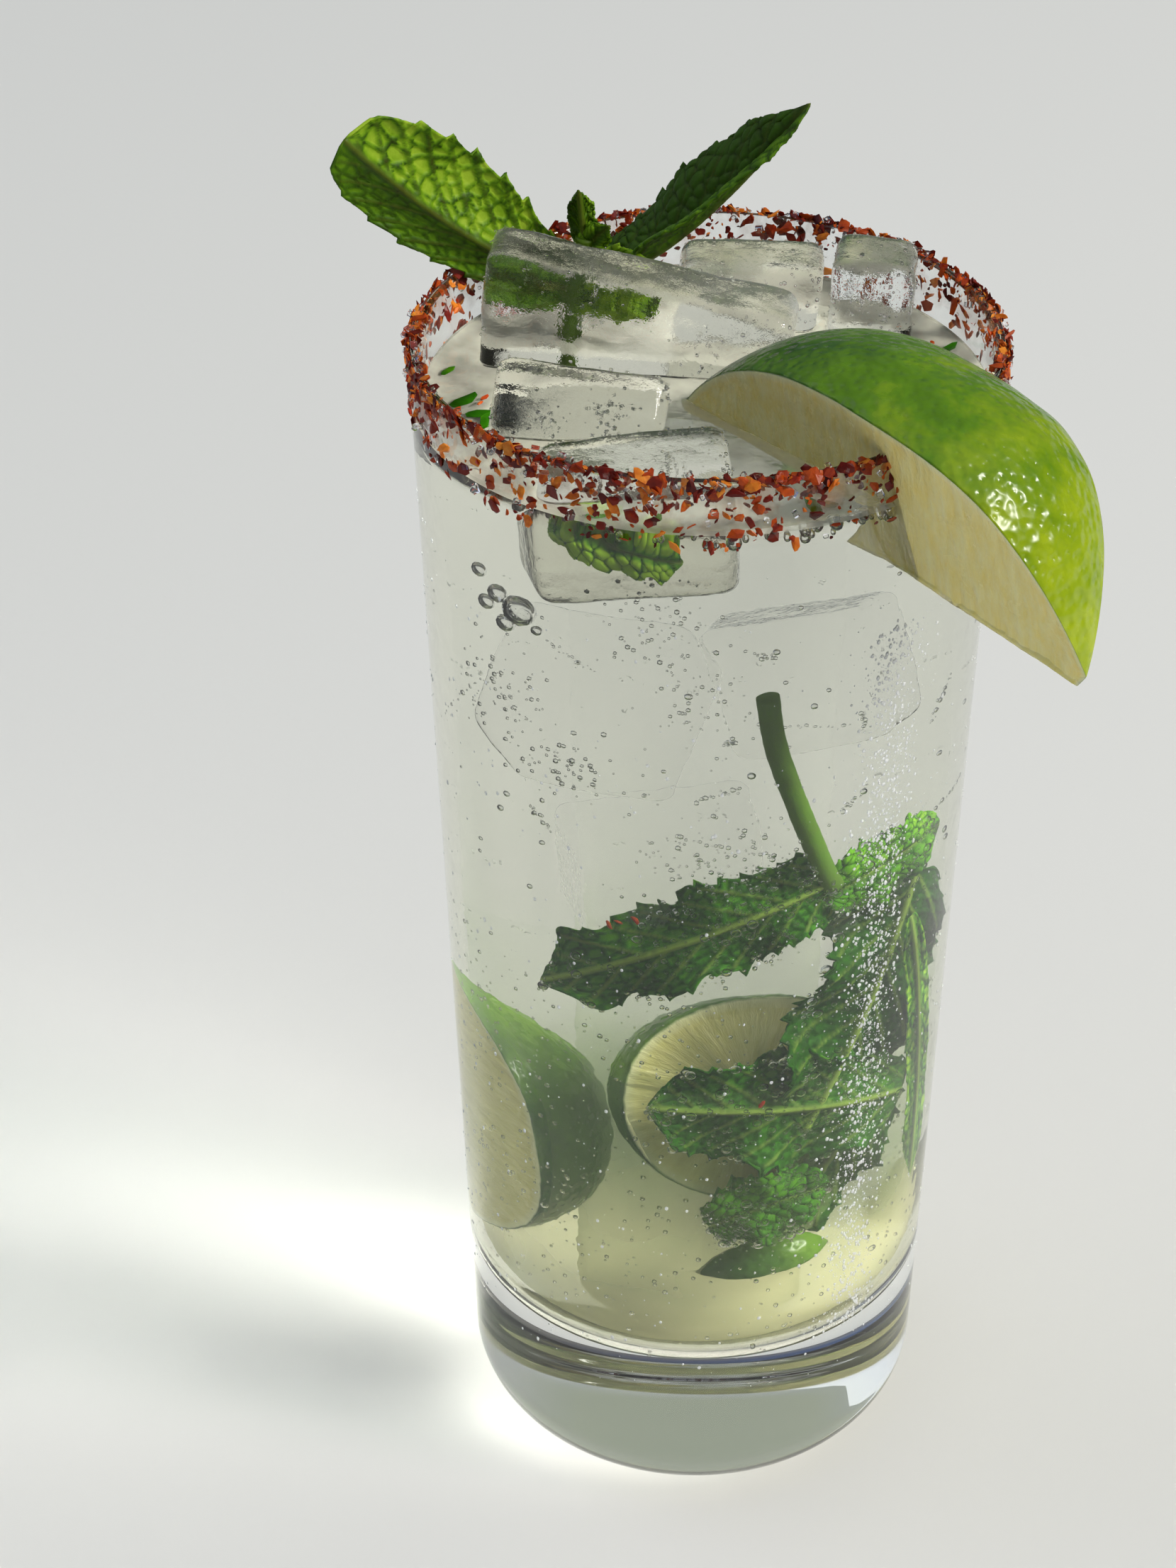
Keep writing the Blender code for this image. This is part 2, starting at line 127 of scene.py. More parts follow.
# Mint: the stem, then each leaf's name, base, bend and tip of its midrib, half width, form (widest,
# bluntness and point), directions of its left and right half, and teeth. The painted shade is given
# for the left and right half of each leaf, lighter or darker by how the light falls on it.
STEM_POINTS = ((-0.0150, 0.0185, 0.1340), (-0.0147, 0.0181, 0.1430),
               (-0.0140, 0.0175, 0.1500), (-0.0134, 0.0170, 0.1540))
STALK_WIDTH = 0.0014
STEM_RADIUS = 0.0011
SUNK_STEM_RADIUS = 0.0012
LEAF_THICKNESS = 0.00035
MINT_LEAVES = (
    ("left", (-0.0144, 0.0178, 0.1480), (-0.0262, 0.0156, 0.1520), (-0.0396, 0.0088, 0.1696), 0.0086,
     (1.40, 0.44, 40.0), (0.73, 0.46, 0.51), (-0.37, -0.04, -0.40), 7),
    ("right", (-0.0139, 0.0175, 0.1480), (-0.0036, 0.0178, 0.1486), (0.0115, 0.0140, 0.1714), 0.0084,
     (1.10, 0.60, 7.0), (-0.48, 0.87, 0.05), (-0.06, -0.56, 0.45), 8),
    ("behind_ice", (-0.0146, 0.0180, 0.1460), (-0.0090, 0.0160, 0.1520), (-0.0052, 0.0140, 0.1466), 0.0036,
     (0.90, 0.75, 12.0), (0.20, 0.25, 0.95), (-0.20, 0.10, -0.97), 5),
    ("bud", (-0.0134, 0.0170, 0.1528), (-0.0138, 0.0172, 0.1570), (-0.0141, 0.0160, 0.1602), 0.0012,
     (0.85, 0.75, 2.6), (0.92, 0.30, 0.20), (-0.92, 0.30, 0.20), 4),
    ("bud_side", (-0.0135, 0.0170, 0.1526), (-0.0120, 0.0165, 0.1545), (-0.0106, 0.0155, 0.1560), 0.0012,
     (0.90, 0.75, 3.0), (-0.50, 0.40, 0.75), (0.50, 0.40, -0.75), 4),
)
MINT_PAINTED_SHADE = ((1.15, 0.52), (0.24, 0.55), (1.0, 0.9), (0.9, 0.7), (0.7, 0.7))

# Sunk in the drink or afloat on it: leaves as above but without names, and flecks by their places.
SUNK_LEAVES = (
    ((0.0132, -0.0198, 0.0928), (0.0020, -0.0262, 0.0895), (-0.0172, -0.0172, 0.0768), 0.0070,
     (0.92, 0.26, 9.0), (0.10, 0.35, 0.93), (-0.15, -0.10, -0.98), 14),
    ((0.0122, -0.0196, 0.0905), (0.0190, -0.0165, 0.0930), (0.0240, -0.0090, 0.0930), 0.0050,
     (1.00, 0.40, 9.0), (0.10, 0.45, 0.90), (-0.10, 0.10, -0.99), 9),
    ((0.0215, -0.0110, 0.0880), (0.0190, -0.0150, 0.0740), (0.0110, -0.0190, 0.0560), 0.0088,
     (1.00, 0.34, 9.0), (-0.75, -0.45, 0.40), (0.80, 0.50, -0.30), 14),
    ((0.0220, -0.0125, 0.0565), (0.0100, -0.0225, 0.0610), (-0.0060, -0.0218, 0.0618), 0.0078,
     (1.00, 0.32, 9.0), (-0.10, 0.05, 0.99), (-0.05, -0.20, -0.98), 12),
    ((0.0010, -0.0205, 0.0430), (0.0070, -0.0225, 0.0475), (0.0140, -0.0180, 0.0470), 0.0048,
     (0.90, 0.40, 9.0), (-0.20, 0.10, 0.96), (0.10, -0.15, -0.98), 9),
    ((-0.0160, -0.0218, 0.1402), (-0.0090, -0.0272, 0.1388), (-0.0030, -0.0264, 0.1378), 0.0024,
     (0.90, 0.40, 9.0), (0.10, 0.30, 0.93), (-0.10, -0.10, -0.98), 8),
    ((0.0228, -0.0168, 0.0845), (0.0262, -0.0120, 0.0640), (0.0240, -0.0098, 0.0400), 0.0022,
     (1.00, 0.50, 9.0), (-0.75, -0.55, 0.20), (0.75, 0.60, -0.10), 9),
    ((0.0180, -0.0120, 0.0620), (0.0160, -0.0150, 0.0500), (0.0060, -0.0150, 0.0380), 0.0075,
     (1.00, 0.40, 9.0), (-0.75, -0.35, 0.40), (0.80, 0.30, -0.30), 9),
)
# Painted shade for each sunk leaf's left and right half, lighter or darker by how much light reaches it.
SUNK_PAINTED_SHADE = ((0.70, 0.60), (0.95, 0.8), (0.32, 0.26), (0.58, 0.46), (0.66, 0.55), (1.5, 1.5),
               (1.2, 1.2), (0.40, 0.40))
MINT_FLECKS = ((-0.0289, 0.0055, 0.1431), (-0.0268, -0.0018, 0.1431), (-0.0249, -0.0047, 0.1431),
               (-0.0242, -0.0062, 0.1431), (0.0277, 0.0105, 0.1431), (-0.0120, -0.0272, 0.1429),
               (0.0105, -0.0258, 0.1431), (0.0120, -0.0250, 0.1431), (-0.0058, -0.0278, 0.1425))
CHILI_FLECKS = ((-0.0246, -0.0010, 0.1431), (-0.0250, -0.0022, 0.1431), (0.0260, 0.0120, 0.1431),
                (0.0050, -0.0262, 0.1431), (-0.0212, -0.0165, 0.1431), (-0.0106, -0.0263, 0.0902),
                (-0.0096, -0.0265, 0.0908), (-0.0078, -0.0270, 0.0915), (0.0065, -0.0267, 0.0648),
                (0.0225, 0.0180, 0.1431), (-0.0190, -0.0178, 0.1431))
SUNK_STEM = ((0.0057, -0.0232, 0.1197), (0.0068, -0.0228, 0.1126), (0.0091, -0.0219, 0.1045),
             (0.0118, -0.0205, 0.0957), (0.0132, -0.0196, 0.0918))

# Sunk limes: the half's centre, facing, radius and depth, and for each wedge its name, centre,
# directions of fruit and rind, length, radius, half angle, rows, points of arc and cut, and seed.
SUNK_HALF = ((0.0052, -0.0125, 0.0585), (0.30, -0.92, 0.25), 0.0138, 0.013)
SUNK_WEDGES = (
    ("sunk_lime_wedge", (-0.0225, 0.0030, 0.0450), (-0.10, 0.0, 1.0),
     (math.cos(math.radians(-33.0)), math.sin(math.radians(-33.0)), 0.0),
     0.040, 0.0160, 34.0, (110, 50, 30), 8),
    ("sunk_lime_bit", (0.0066, -0.0160, 0.0350), (0.93, 0.25, 0.10),
     (0.0, -0.85, 0.55), 0.0145, 0.0042, 40.0, (70, 36, 20), 9),
)
SUNK_LIME_CORE = 0.0006

# Gas: single bubbles by place and radius, and clouds of fine ones by centre, spread and count.
SINGLE_BUBBLES = ((-0.0193, -0.0195, 0.1278, 0.0021), (-0.0213, -0.0170, 0.1286, 0.0013),
                  (-0.0222, -0.0150, 0.1265, 0.0011), (-0.0205, -0.0175, 0.1252, 0.0012),
                  (-0.0228, -0.0140, 0.1300, 0.0010), (-0.0176, -0.0210, 0.1262, 0.0007))
BUBBLE_CLOUDS = (((-0.0205, -0.0150, 0.1155), (0.003, 0.002, 0.004), 110),
                 ((-0.0140, -0.0205, 0.1085), (0.003, 0.002, 0.002), 70),
                 ((-0.0050, -0.0235, 0.1290), (0.003, 0.002, 0.003), 90),
                 ((0.0000, -0.0235, 0.1185), (0.003, 0.002, 0.003), 70),
                 ((0.0010, -0.0235, 0.0975), (0.005, 0.002, 0.004), 200),
                 ((0.0060, -0.0225, 0.0905), (0.004, 0.002, 0.003), 120))
LEAVES_WITH_BUBBLES = SUNK_LEAVES[:5]
LARGE_A_LEAF = 75
LARGE_OFF_LEAF = 0.0008
FINE_A_LEAF = 300
FINE_OFF_LEAF = 0.0011
RING_BUBBLES = 60
RING_RADIUS = 0.0302
RING_LEVEL = 0.1424
WALL_BUBBLES = 90
BUBBLE_STRINGS = 16
STRING_BUBBLES = 16
FLOOR_BUBBLES = 900

# Dew: drops on the outer wall, the larger share of them in a streak.
DEW_DROPS = 5200
STREAK_SHARE = 0.62
STREAK_AZIMUTH = math.radians(-51.0)

# Rim crust: how far it hangs down, and the part of the rim that the lime keeps bare.
CRUST_HANG = 0.0082
LIME_SEAT = math.radians(-44.5)
BARE_HALF = math.radians(17.0)
BARE_HALF_OUTSIDE = math.radians(9.0)
CHILI_FLAKES = 2500
SALT_GRAINS = 260

# Stage: the camera as in the photograph, and each lamp's name, azimuth, elevation, distance, size,
# power and colour.
FLOOR_HALF = 6
CAMERA_PLACE = (-0.0133, -0.3672, 0.3347)
CAMERA_TILT = math.radians(90.0 - 33.56)
CAMERA_ROLL = math.radians(-0.25)
CAMERA_LENS = 85.33
LAMPS = (("key", -19.0, 42.0, 3.0, 0.60, 69.0, (1.0, 0.97, 0.92)),
         ("fill", 160.0, 50.0, 1.6, 1.2, 2.2, (0.93, 0.96, 1.0)))
LAMP_AIM = Vector((0.0, 0.0, 0.08))


# Meshes from whole arrays.

def grid_faces(rows, cols, wrap=False, first=0):
    """Quads between neighbouring rows and columns of a grid of points, and round it if wrapped."""
    index = np.arange(rows * cols).reshape(rows, cols) + first
    if wrap:
        index = np.concatenate([index, index[:, :1]], 1)
    return np.stack([index[:-1, :-1], index[:-1, 1:], index[1:, 1:], index[1:, :-1]], -1).reshape(-1, 4)


def array_mesh(name, points, faces, values=None):
    """A mesh from points, faces and named values for each point."""
    mesh = bpy.data.meshes.new(name)
    mesh.from_pydata(points.reshape(-1, 3).tolist(), [], faces.tolist())
    for key, array in (values or {}).items():
        layer = mesh.attributes.new(key, "FLOAT", "POINT")
        layer.data.foreach_set("value", np.ascontiguousarray(array, np.float32).ravel())
    return mesh


def weld(mesh, distance=0.000002):
    """Close seams and poles by merging points that meet, and turn all faces outwards."""
    bm = bmesh.new()
    bm.from_mesh(mesh)
    bmesh.ops.remove_doubles(bm, verts=bm.verts, dist=distance)
    bmesh.ops.dissolve_degenerate(bm, edges=bm.edges, dist=distance)
    bmesh.ops.recalc_face_normals(bm, faces=bm.faces)
    bm.to_mesh(mesh)
    bm.free()


def place_piece(name, mesh, looks, slot, node=None, smooth=True, faint=False):
    """Put a mesh in the scene as a piece that rides on the part and may stand for a solid. A faint
    piece casts no shadow, and soft light from other surfaces passes it by."""
    piece = bpy.data.objects.new(name, mesh)
    bpy.context.scene.collection.objects.link(piece)
    for look in looks:
        mesh.materials.append(look)
    if smooth:
        mesh.shade_smooth()
    if faint:
        piece.visible_shadow, piece.visible_diffuse = False, False
    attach(piece, "root")
    if node is not None:
        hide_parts(node)


def turned(profile, steps):
    """A profile of (radius, height) carried round Z: x is r cos a, y is r sin a."""
    angle = np.linspace(0.0, math.tau, steps, endpoint=False)
    radius, height = profile[:, :1], profile[:, 1:]
    return np.stack([radius * np.cos(angle), radius * np.sin(angle), height + 0.0 * angle], -1)


def waves(points, length, seed, count=10):
    """Soft unevenness between -1 and 1: a mean of sines that run in seeded directions."""
    rng = np.random.RandomState(seed)
    turns = rng.normal(size=(count, 3))
    lengths = np.linalg.norm(turns, axis=1)[:, None]
    turns *= math.tau / length * rng.uniform(0.5, 1.5, (count, 1)) / lengths
    return np.sin(points @ turns.T + rng.uniform(0.0, ABOUT_A_TURN, count)).mean(-1) * 1.8


def cell_gap(x, y, size, seed):
    """How far a place is from the seam between two cells: the distance to the second nearest of a
    jittered grid's points less that to the nearest, in cell sizes."""
    table = np.random.RandomState(seed).uniform(0.1, 0.9, (64, 64, 2))
    x, y = x / size, y / size
    column, row = np.floor(x).astype(int), np.floor(y).astype(int)
    near = np.full(x.shape, 9.0)
    next_near = near.copy()
    for dx in (-1, 0, 1):
        for dy in (-1, 0, 1):
            spot = table[(column + dx) % 64, (row + dy) % 64]
            far = np.hypot(column + dx + spot[..., 0] - x, row + dy + spot[..., 1] - y)
            next_near = np.minimum(next_near, np.maximum(near, far))
            near = np.minimum(near, far)
    return next_near - near


def ball(subdivisions=1):
    """The points and triangles of a ball of radius one."""
    bm = bmesh.new()
    bmesh.ops.create_icosphere(bm, subdivisions=subdivisions, radius=1.0)
    points = np.array([vert.co[:] for vert in bm.verts])
    faces = np.array([[vert.index for vert in face.verts] for face in bm.faces])
    bm.free()
    return points, faces


def place_many(name, form, faces, frames, places, look, slot, values=None, **options):
    """One piece of a form set at every place, turned and stretched by that place's three by three
    frame. The form may differ from place to place."""
    form = np.broadcast_to(form, (len(places),) + form.shape[-2:])
    points = np.einsum("nij,nkj->nki", frames, form) + places[:, None, :]
    offsets = np.arange(len(places))[:, None, None] * form.shape[1]
    all_faces = (faces[None] + offsets).reshape(-1, faces.shape[1])
    place_piece(name, array_mesh(name, points, all_faces, values), [look], slot, **options)


def frames_along(normals, spin, sizes):
    """Frames whose third axis is the normal, spun about it, with their axes scaled by sizes."""
    normals = normals / np.linalg.norm(normals, axis=1, keepdims=True)
    helper = np.where(np.abs(normals[:, 2:]) > 0.9, [[1.0, 0.0, 0.0]], [[0.0, 0.0, 1.0]])
    first = np.cross(helper, normals)
    first /= np.linalg.norm(first, axis=1, keepdims=True)
    second = np.cross(normals, first)
    cos, sin = np.cos(spin)[:, None], np.sin(spin)[:, None]
    turned_first, turned_second = first * cos + second * sin, second * cos - first * sin
    return np.stack([turned_first, turned_second, normals], -1) * sizes[:, None, :]


# Materials.

def new_tree(name):
    """An empty node material."""
    material = bpy.data.materials.new(name)
    material.use_nodes = True
    material.node_tree.nodes.clear()
    return material, material.node_tree


def add(tree, kind, inputs=None, **settings):
    """A node with its settings; its inputs are values or other nodes' outputs."""
    made = tree.nodes.new(kind)
    for key, value in settings.items():
        setattr(made, key, value)
    for key, value in (inputs or {}).items():
        if isinstance(value, bpy.types.NodeSocket):
            tree.links.new(value, made.inputs[key])
        else:
            made.inputs[key].default_value = value
    return made


def ramp(tree, factor, stops):
    """Colours by a factor: each stop is a place and a colour."""
    made = add(tree, "ShaderNodeValToRGB", {"Fac": factor})
    elements = made.color_ramp.elements
    while len(elements) < len(stops):
        elements.new(0.5)
    for element, (place, colour) in zip(elements, stops):
        element.position = place
        element.color = (*colour, 1.0)
    return made.outputs["Color"]


def noise(tree, vector, scale, detail=3.0, roughness=0.5):
    """Soft noise between 0 and 1."""
    made = add(tree, "ShaderNodeTexNoise", {"Vector": vector, "Scale": scale, "Detail": detail,
                                            "Roughness": roughness})
    return made.outputs["Fac"]


def calc(tree, operation, first, second=0.0, clamp=False):
    """One step of arithmetic."""
    made = add(tree, "ShaderNodeMath", {0: first, 1: second}, operation=operation, use_clamp=clamp)
    return made.outputs[0]


def blend_colours(tree, factor, first, second):
    """Two colours mixed, the second by the factor."""
    made = add(tree, "ShaderNodeMix", {"Factor": factor}, data_type="RGBA")
    for key, value in ((6, first), (7, second)):
        if isinstance(value, bpy.types.NodeSocket):
            tree.links.new(value, made.inputs[key])
        else:
            made.inputs[key].default_value = (*value, 1.0)
    return made.outputs[2]


def bump(tree, height, strength, distance):
    """A normal bent by a height."""
    made = add(tree, "ShaderNodeBump", {"Height": height, "Strength": strength, "Distance": distance})
    return made.outputs["Normal"]


def object_place(tree):
    """The place in the part's own metres."""
    return add(tree, "ShaderNodeTexCoord").outputs["Object"]


def attribute(tree, name):
    """A value that the mesh holds for each point."""
    return add(tree, "ShaderNodeAttribute", attribute_name=name).outputs["Fac"]


def facets(tree, place, scale):
    """The distance from the middles of soft-edged cells."""
    cells = add(tree, "ShaderNodeTexVoronoi", {"Vector": place, "Scale": scale}, feature="SMOOTH_F1")
    return cells.outputs["Distance"]


def finish_surface(tree, shader):
    """End a material in one shader."""
    add(tree, "ShaderNodeOutputMaterial", {"Surface": shader.outputs[0]})


def finish_mix(tree, share, first, second):
    """End a material in two shaders, the second by its share."""
    finish_surface(tree, add(tree, "ShaderNodeMixShader", {0: share, 1: first.outputs[0],
                                                           2: second.outputs[0]}))


def finish_film(tree, cover, shader):
    """End a material in a shader that covers only part of what is behind it."""
    finish_mix(tree, cover, add(tree, "ShaderNodeBsdfTransparent"), shader)


def new_group(name, inputs, outputs):
    """An empty node group whose inputs and outputs are numbers, and what it is given."""
    group = bpy.data.node_groups.new(name, "ShaderNodeTree")
    for way, keys in (("INPUT", inputs), ("OUTPUT", outputs)):
        for key in keys:
            group.interface.new_socket(name=key, in_out=way, socket_type="NodeSocketFloat")
    return group, group.nodes.new("NodeGroupInput").outputs


def clear_material(name, colour, ior, passed, mirror=1.0, dents=None):
    """Clear glass, ice, liquid or gas, with dents that a function makes. For shadow rays it is a plain
    transparent tint. Where it is wet it mirrors far less, which its specular tint stands for."""
    material, tree = new_tree(name)
    settings = {"Base Color": (*colour, 1.0), "Roughness": 0.0, "IOR": ior,
                "Specular Tint": (mirror, mirror, mirror, 1.0), "Transmission Weight": 1.0}
    if dents is not None:
        settings["Normal"] = dents(tree)
    glass = add(tree, "ShaderNodeBsdfPrincipled", settings)
    passing = add(tree, "ShaderNodeBsdfTransparent", {"Color": (*passed, 1.0)})
    path = add(tree, "ShaderNodeLightPath")
    finish_mix(tree, path.outputs["Is Shadow Ray"], glass, passing)
    return material


def drink_ripples(tree):
    return bump(tree, noise(tree, object_place(tree), 260.0, 2.0), 0.12, 0.0006)


def ice_melt(tree):
    """Facets with fine pits."""
    place = object_place(tree)
    height = calc(tree, "ADD", noise(tree, place, 420.0, 4.0, 0.65), facets(tree, place, 230.0))
    return bump(tree, height, 0.38, 0.0006)


def sunk_ice_dents(tree):
    return bump(tree, noise(tree, object_place(tree), 300.0, 3.0, 0.6), 0.5, 0.0008)


def bubble_material(name, ior):
    return clear_material(name, (1.0, 1.0, 1.0), ior, (0.97, 0.97, 0.97))


def plain_material(name, colour, roughness, **more):
    """A colour and a roughness alone, or with other inputs of the shader, named with _ for a space."""
    material, tree = new_tree(name)
    settings = {key.replace("_", " "): value for key, value in more.items()}
    settings.update({"Base Color": (*colour, 1.0), "Roughness": roughness})
    finish_surface(tree, add(tree, "ShaderNodeBsdfPrincipled", settings))
    return material


def blade_group():
    """A mint blade: its tone, dark in the grooves and bright on the quilting, partly the veins' own
    brown-green and partly painted shade and light, times a painted shade for each half of a leaf, how
    far its ribs show, and its grain."""
    tree, given = new_group("mint_blade", ["Rib Share"], ["Tone And Painted Light", "Ribs", "Grain"])
    place = object_place(tree)
    mottle = calc(tree, "SUBTRACT", noise(tree, place, 380.0, 4.0, 0.6), 0.42)
    # Painted shade in the grooves and painted light on the quilting, with a mottle.
    tone = calc(tree, "ADD", calc(tree, "MULTIPLY", attribute(tree, "raised"), 0.68),
                calc(tree, "MULTIPLY", mottle, 1.1), True)
    add(tree, "NodeGroupOutput", {
        # Each half of a leaf made lighter or darker by its painted shade.
        "Tone And Painted Light": calc(tree, "MULTIPLY", tone, attribute(tree, "shade")),
        "Ribs": calc(tree, "MULTIPLY", attribute(tree, "ribs"), given["Rib Share"]),
        "Grain": noise(tree, place, 2600.0, 3.0, 0.6)})
    return tree


def leaf_material(name, blade, stops, pale, rib_share, glow, shine):
    """Mint: brown-green to bright by its tone and painted shade, pale ribs, a soft sheen, and light
    through the blade.
    """
    material, tree = new_tree(name)
    over = add(tree, "ShaderNodeGroup", {"Rib Share": rib_share}, node_tree=blade).outputs
    colour = blend_colours(tree, over["Ribs"], ramp(tree, over["Tone And Painted Light"], stops), pale)
    grain = bump(tree, over["Grain"], 0.25, 0.0002)
    shell = add(tree, "ShaderNodeBsdfPrincipled", {"Base Color": colour, "Roughness": 0.5, "Normal": grain,
                                                   "Specular IOR Level": shine})
    through = add(tree, "ShaderNodeBsdfTranslucent", {"Color": colour, "Normal": grain})
    finish_mix(tree, glow, shell, through)
    return material


def cut_lime_group():
    """A cut lime by the depth under its rind: the rind's tone, a mottle with painted light that grows
    along the fruit towards its lit end, the juice sacs, where rind and pith show, and the relief and
    roughness of rind and flesh."""
    tree, given = new_group("cut_lime", ["Sac Rows"], ["Tone And Painted Light", "Sacs", "Pith", "Rind", "Relief", "Roughness"])
    place = object_place(tree)
    depth, lengthwise = attribute(tree, "depth"), attribute(tree, "lengthwise")
    mottle = noise(tree, place, 160.0, 4.0, 0.6)
    # Painted light: the rind brightens along the fruit, on top of its mottle.
    tone = calc(tree, "ADD", calc(tree, "MULTIPLY", lengthwise, 0.85), calc(tree, "SUBTRACT", mottle, 0.5))
    sacs_at = add(tree, "ShaderNodeCombineXYZ", {0: calc(tree, "MULTIPLY", lengthwise, given["Sac Rows"]),
                                                 1: calc(tree, "MULTIPLY", attribute(tree, "outward"), 3.5)})
    sacs = noise(tree, sacs_at.outputs[0], 1.0, 4.0, 0.65)
    pith = calc(tree, "SUBTRACT", 1.0, calc(tree, "MULTIPLY", depth, 620.0), True)
    rind = calc(tree, "SUBTRACT", 1.0, calc(tree, "MULTIPLY", depth, 2600.0), True)
    dimples = calc(tree, "MULTIPLY", facets(tree, place, 950.0), rind)
    ridges = calc(tree, "MULTIPLY", sacs, calc(tree, "SUBTRACT", 1.0, rind))
    add(tree, "NodeGroupOutput", {
        "Tone And Painted Light": calc(tree, "ADD", tone, 0.05, True), "Sacs": sacs, "Pith": pith, "Rind": rind,
        "Relief": calc(tree, "ADD", dimples, ridges),
        "Roughness": calc(tree, "ADD", 0.16, calc(tree, "MULTIPLY", mottle, 0.20))})
    return tree


def lime_material(name, cut_lime, rind_colours_with_painted_light, flesh_colours, glow):
    """Rind, pith and flesh by the depth under the rind, with pores, juice sacs and a wet gloss. The rind
    runs from dark to bright along the fruit, which is painted light.
    """
    material, tree = new_tree(name)
    over = add(tree, "ShaderNodeGroup", {"Sac Rows": 42.0}, node_tree=cut_lime).outputs
    # The rind's ramp, dark to bright, carries the painted light along the fruit.
    rind = ramp(tree, over["Tone And Painted Light"], tuple(zip((0.0, 0.5, 1.0), rind_colours_with_painted_light)))
    flesh = ramp(tree, over["Sacs"], tuple(zip((0.30, 0.68), flesh_colours)))
    inside = blend_colours(tree, over["Pith"], flesh, (0.84, 0.86, 0.52))
    shell = add(tree, "ShaderNodeBsdfPrincipled", {
        "Base Color": blend_colours(tree, over["Rind"], inside, rind), "Roughness": over["Roughness"],
        "Normal": bump(tree, over["Relief"], 0.75, 0.0004), "Specular IOR Level": 0.38,
        "Subsurface Weight": glow, "Subsurface Radius": (1.0, 0.9, 0.4), "Subsurface Scale": 0.0010})
    finish_surface(tree, shell)
    return material


def flake_material(name, stops, clear):
    """Dried chili: each flake has its own tone, and thin ones let some light through."""
    material, tree = new_tree(name)
    mottle = calc(tree, "SUBTRACT", noise(tree, object_place(tree), 1500.0, 3.0), 0.5)
    tone = calc(tree, "ADD", attribute(tree, "tone"), calc(tree, "MULTIPLY", mottle, 0.5), True)
    colour = ramp(tree, tone, stops)
    shell = add(tree, "ShaderNodeBsdfPrincipled", {"Base Color": colour, "Roughness": 0.42,
                                                   "Specular IOR Level": 0.35})
    finish_mix(tree, clear, shell, add(tree, "ShaderNodeBsdfTranslucent", {"Color": colour}))
    return material


# Glass.

def outer_radius(z):
    """The outer wall's straight taper."""
    return FOOT_RADIUS + (RIM_RADIUS - FOOT_RADIUS) * z / GLASS_HEIGHT


def inner_radius(z):
    """The inner wall: the outer one less a thickness that thins towards the lip."""
    below_lip = np.minimum(1.0, (GLASS_HEIGHT - z) / LIP_TAPER)
    return outer_radius(z) - LIP_THICKNESS - (WALL_THICKNESS - LIP_THICKNESS) * below_lip


def floor_profile(reach, count=40):
    """The rounded inner floor, a quarter of a superellipse, let down and out by a reach."""
    angle = 0.5 * math.pi * np.linspace(0.0, 1.0, count)
    top = BASE_THICKNESS + FLOOR_RISE
    radius = inner_radius(top) + reach
    x = radius * np.sin(angle) ** (2.0 / FLOOR_ROUNDNESS)
    z = top - FLOOR_RISE * np.clip(np.cos(angle), 0.0, 1.0) ** (2.0 / FLOOR_ROUNDNESS)
    return np.stack([x, z - reach], 1)


def glass_profile():
    """Inner floor and wall upwards, over the round lip, down the outer wall and round the heel."""
    lip = 0.5 * LIP_THICKNESS
    lip_z = GLASS_HEIGHT - lip
    z = np.linspace(BASE_THICKNESS + FLOOR_RISE + 0.002, lip_z - 0.0008, 44)
    turn = np.linspace(math.pi, 0.0, 13)
    over = np.stack([outer_radius(lip_z) - lip + lip * np.cos(turn), lip_z + lip * np.sin(turn)], 1)
    down = np.linspace(lip_z - 0.002, HEEL_RADIUS + 0.002, 40)
    fall = np.linspace(0.0, -0.5 * math.pi, 20)
    heel_x = outer_radius(HEEL_RADIUS) - HEEL_RADIUS
    heel = np.stack([heel_x + HEEL_RADIUS * np.cos(fall), HEEL_RADIUS + HEEL_RADIUS * np.sin(fall)], 1)
    foot = np.array([[heel_x * 0.5, 0.0], [0.0, 0.0]])
    return np.concatenate([floor_profile(0.0), np.stack([inner_radius(z), z], 1), over,
                           np.stack([outer_radius(down), down], 1), heel, foot])


def make_glass():
    """The glass, whose inner faces up to the drink's level are wet."""
    points = turned(glass_profile(), GLASS_STEPS)
    mesh = array_mesh("glass_body", points, grid_faces(len(points), GLASS_STEPS, wrap=True))
    weld(mesh)
    looks = [clear_material(name, (0.97, 0.985, 0.98), 1.50, (0.93, 0.94, 0.94), mirror)
             for name, mirror in (("clear_glass", 1.0), ("wet_glass", 0.05))]
    place_piece("glass_body", mesh, looks, "glass", "glass")
    middles = np.array([face.center[:] for face in mesh.polygons])
    radius, z = np.hypot(middles[:, 0], middles[:, 1]), middles[:, 2]
    wet = (radius < inner_radius(z) + 0.0001) & (z > BASE_THICKNESS - 0.0005) & (z < DRINK_LEVEL)
    mesh.polygons.foreach_set("material_index", wet.astype(np.int32))


# Ice.

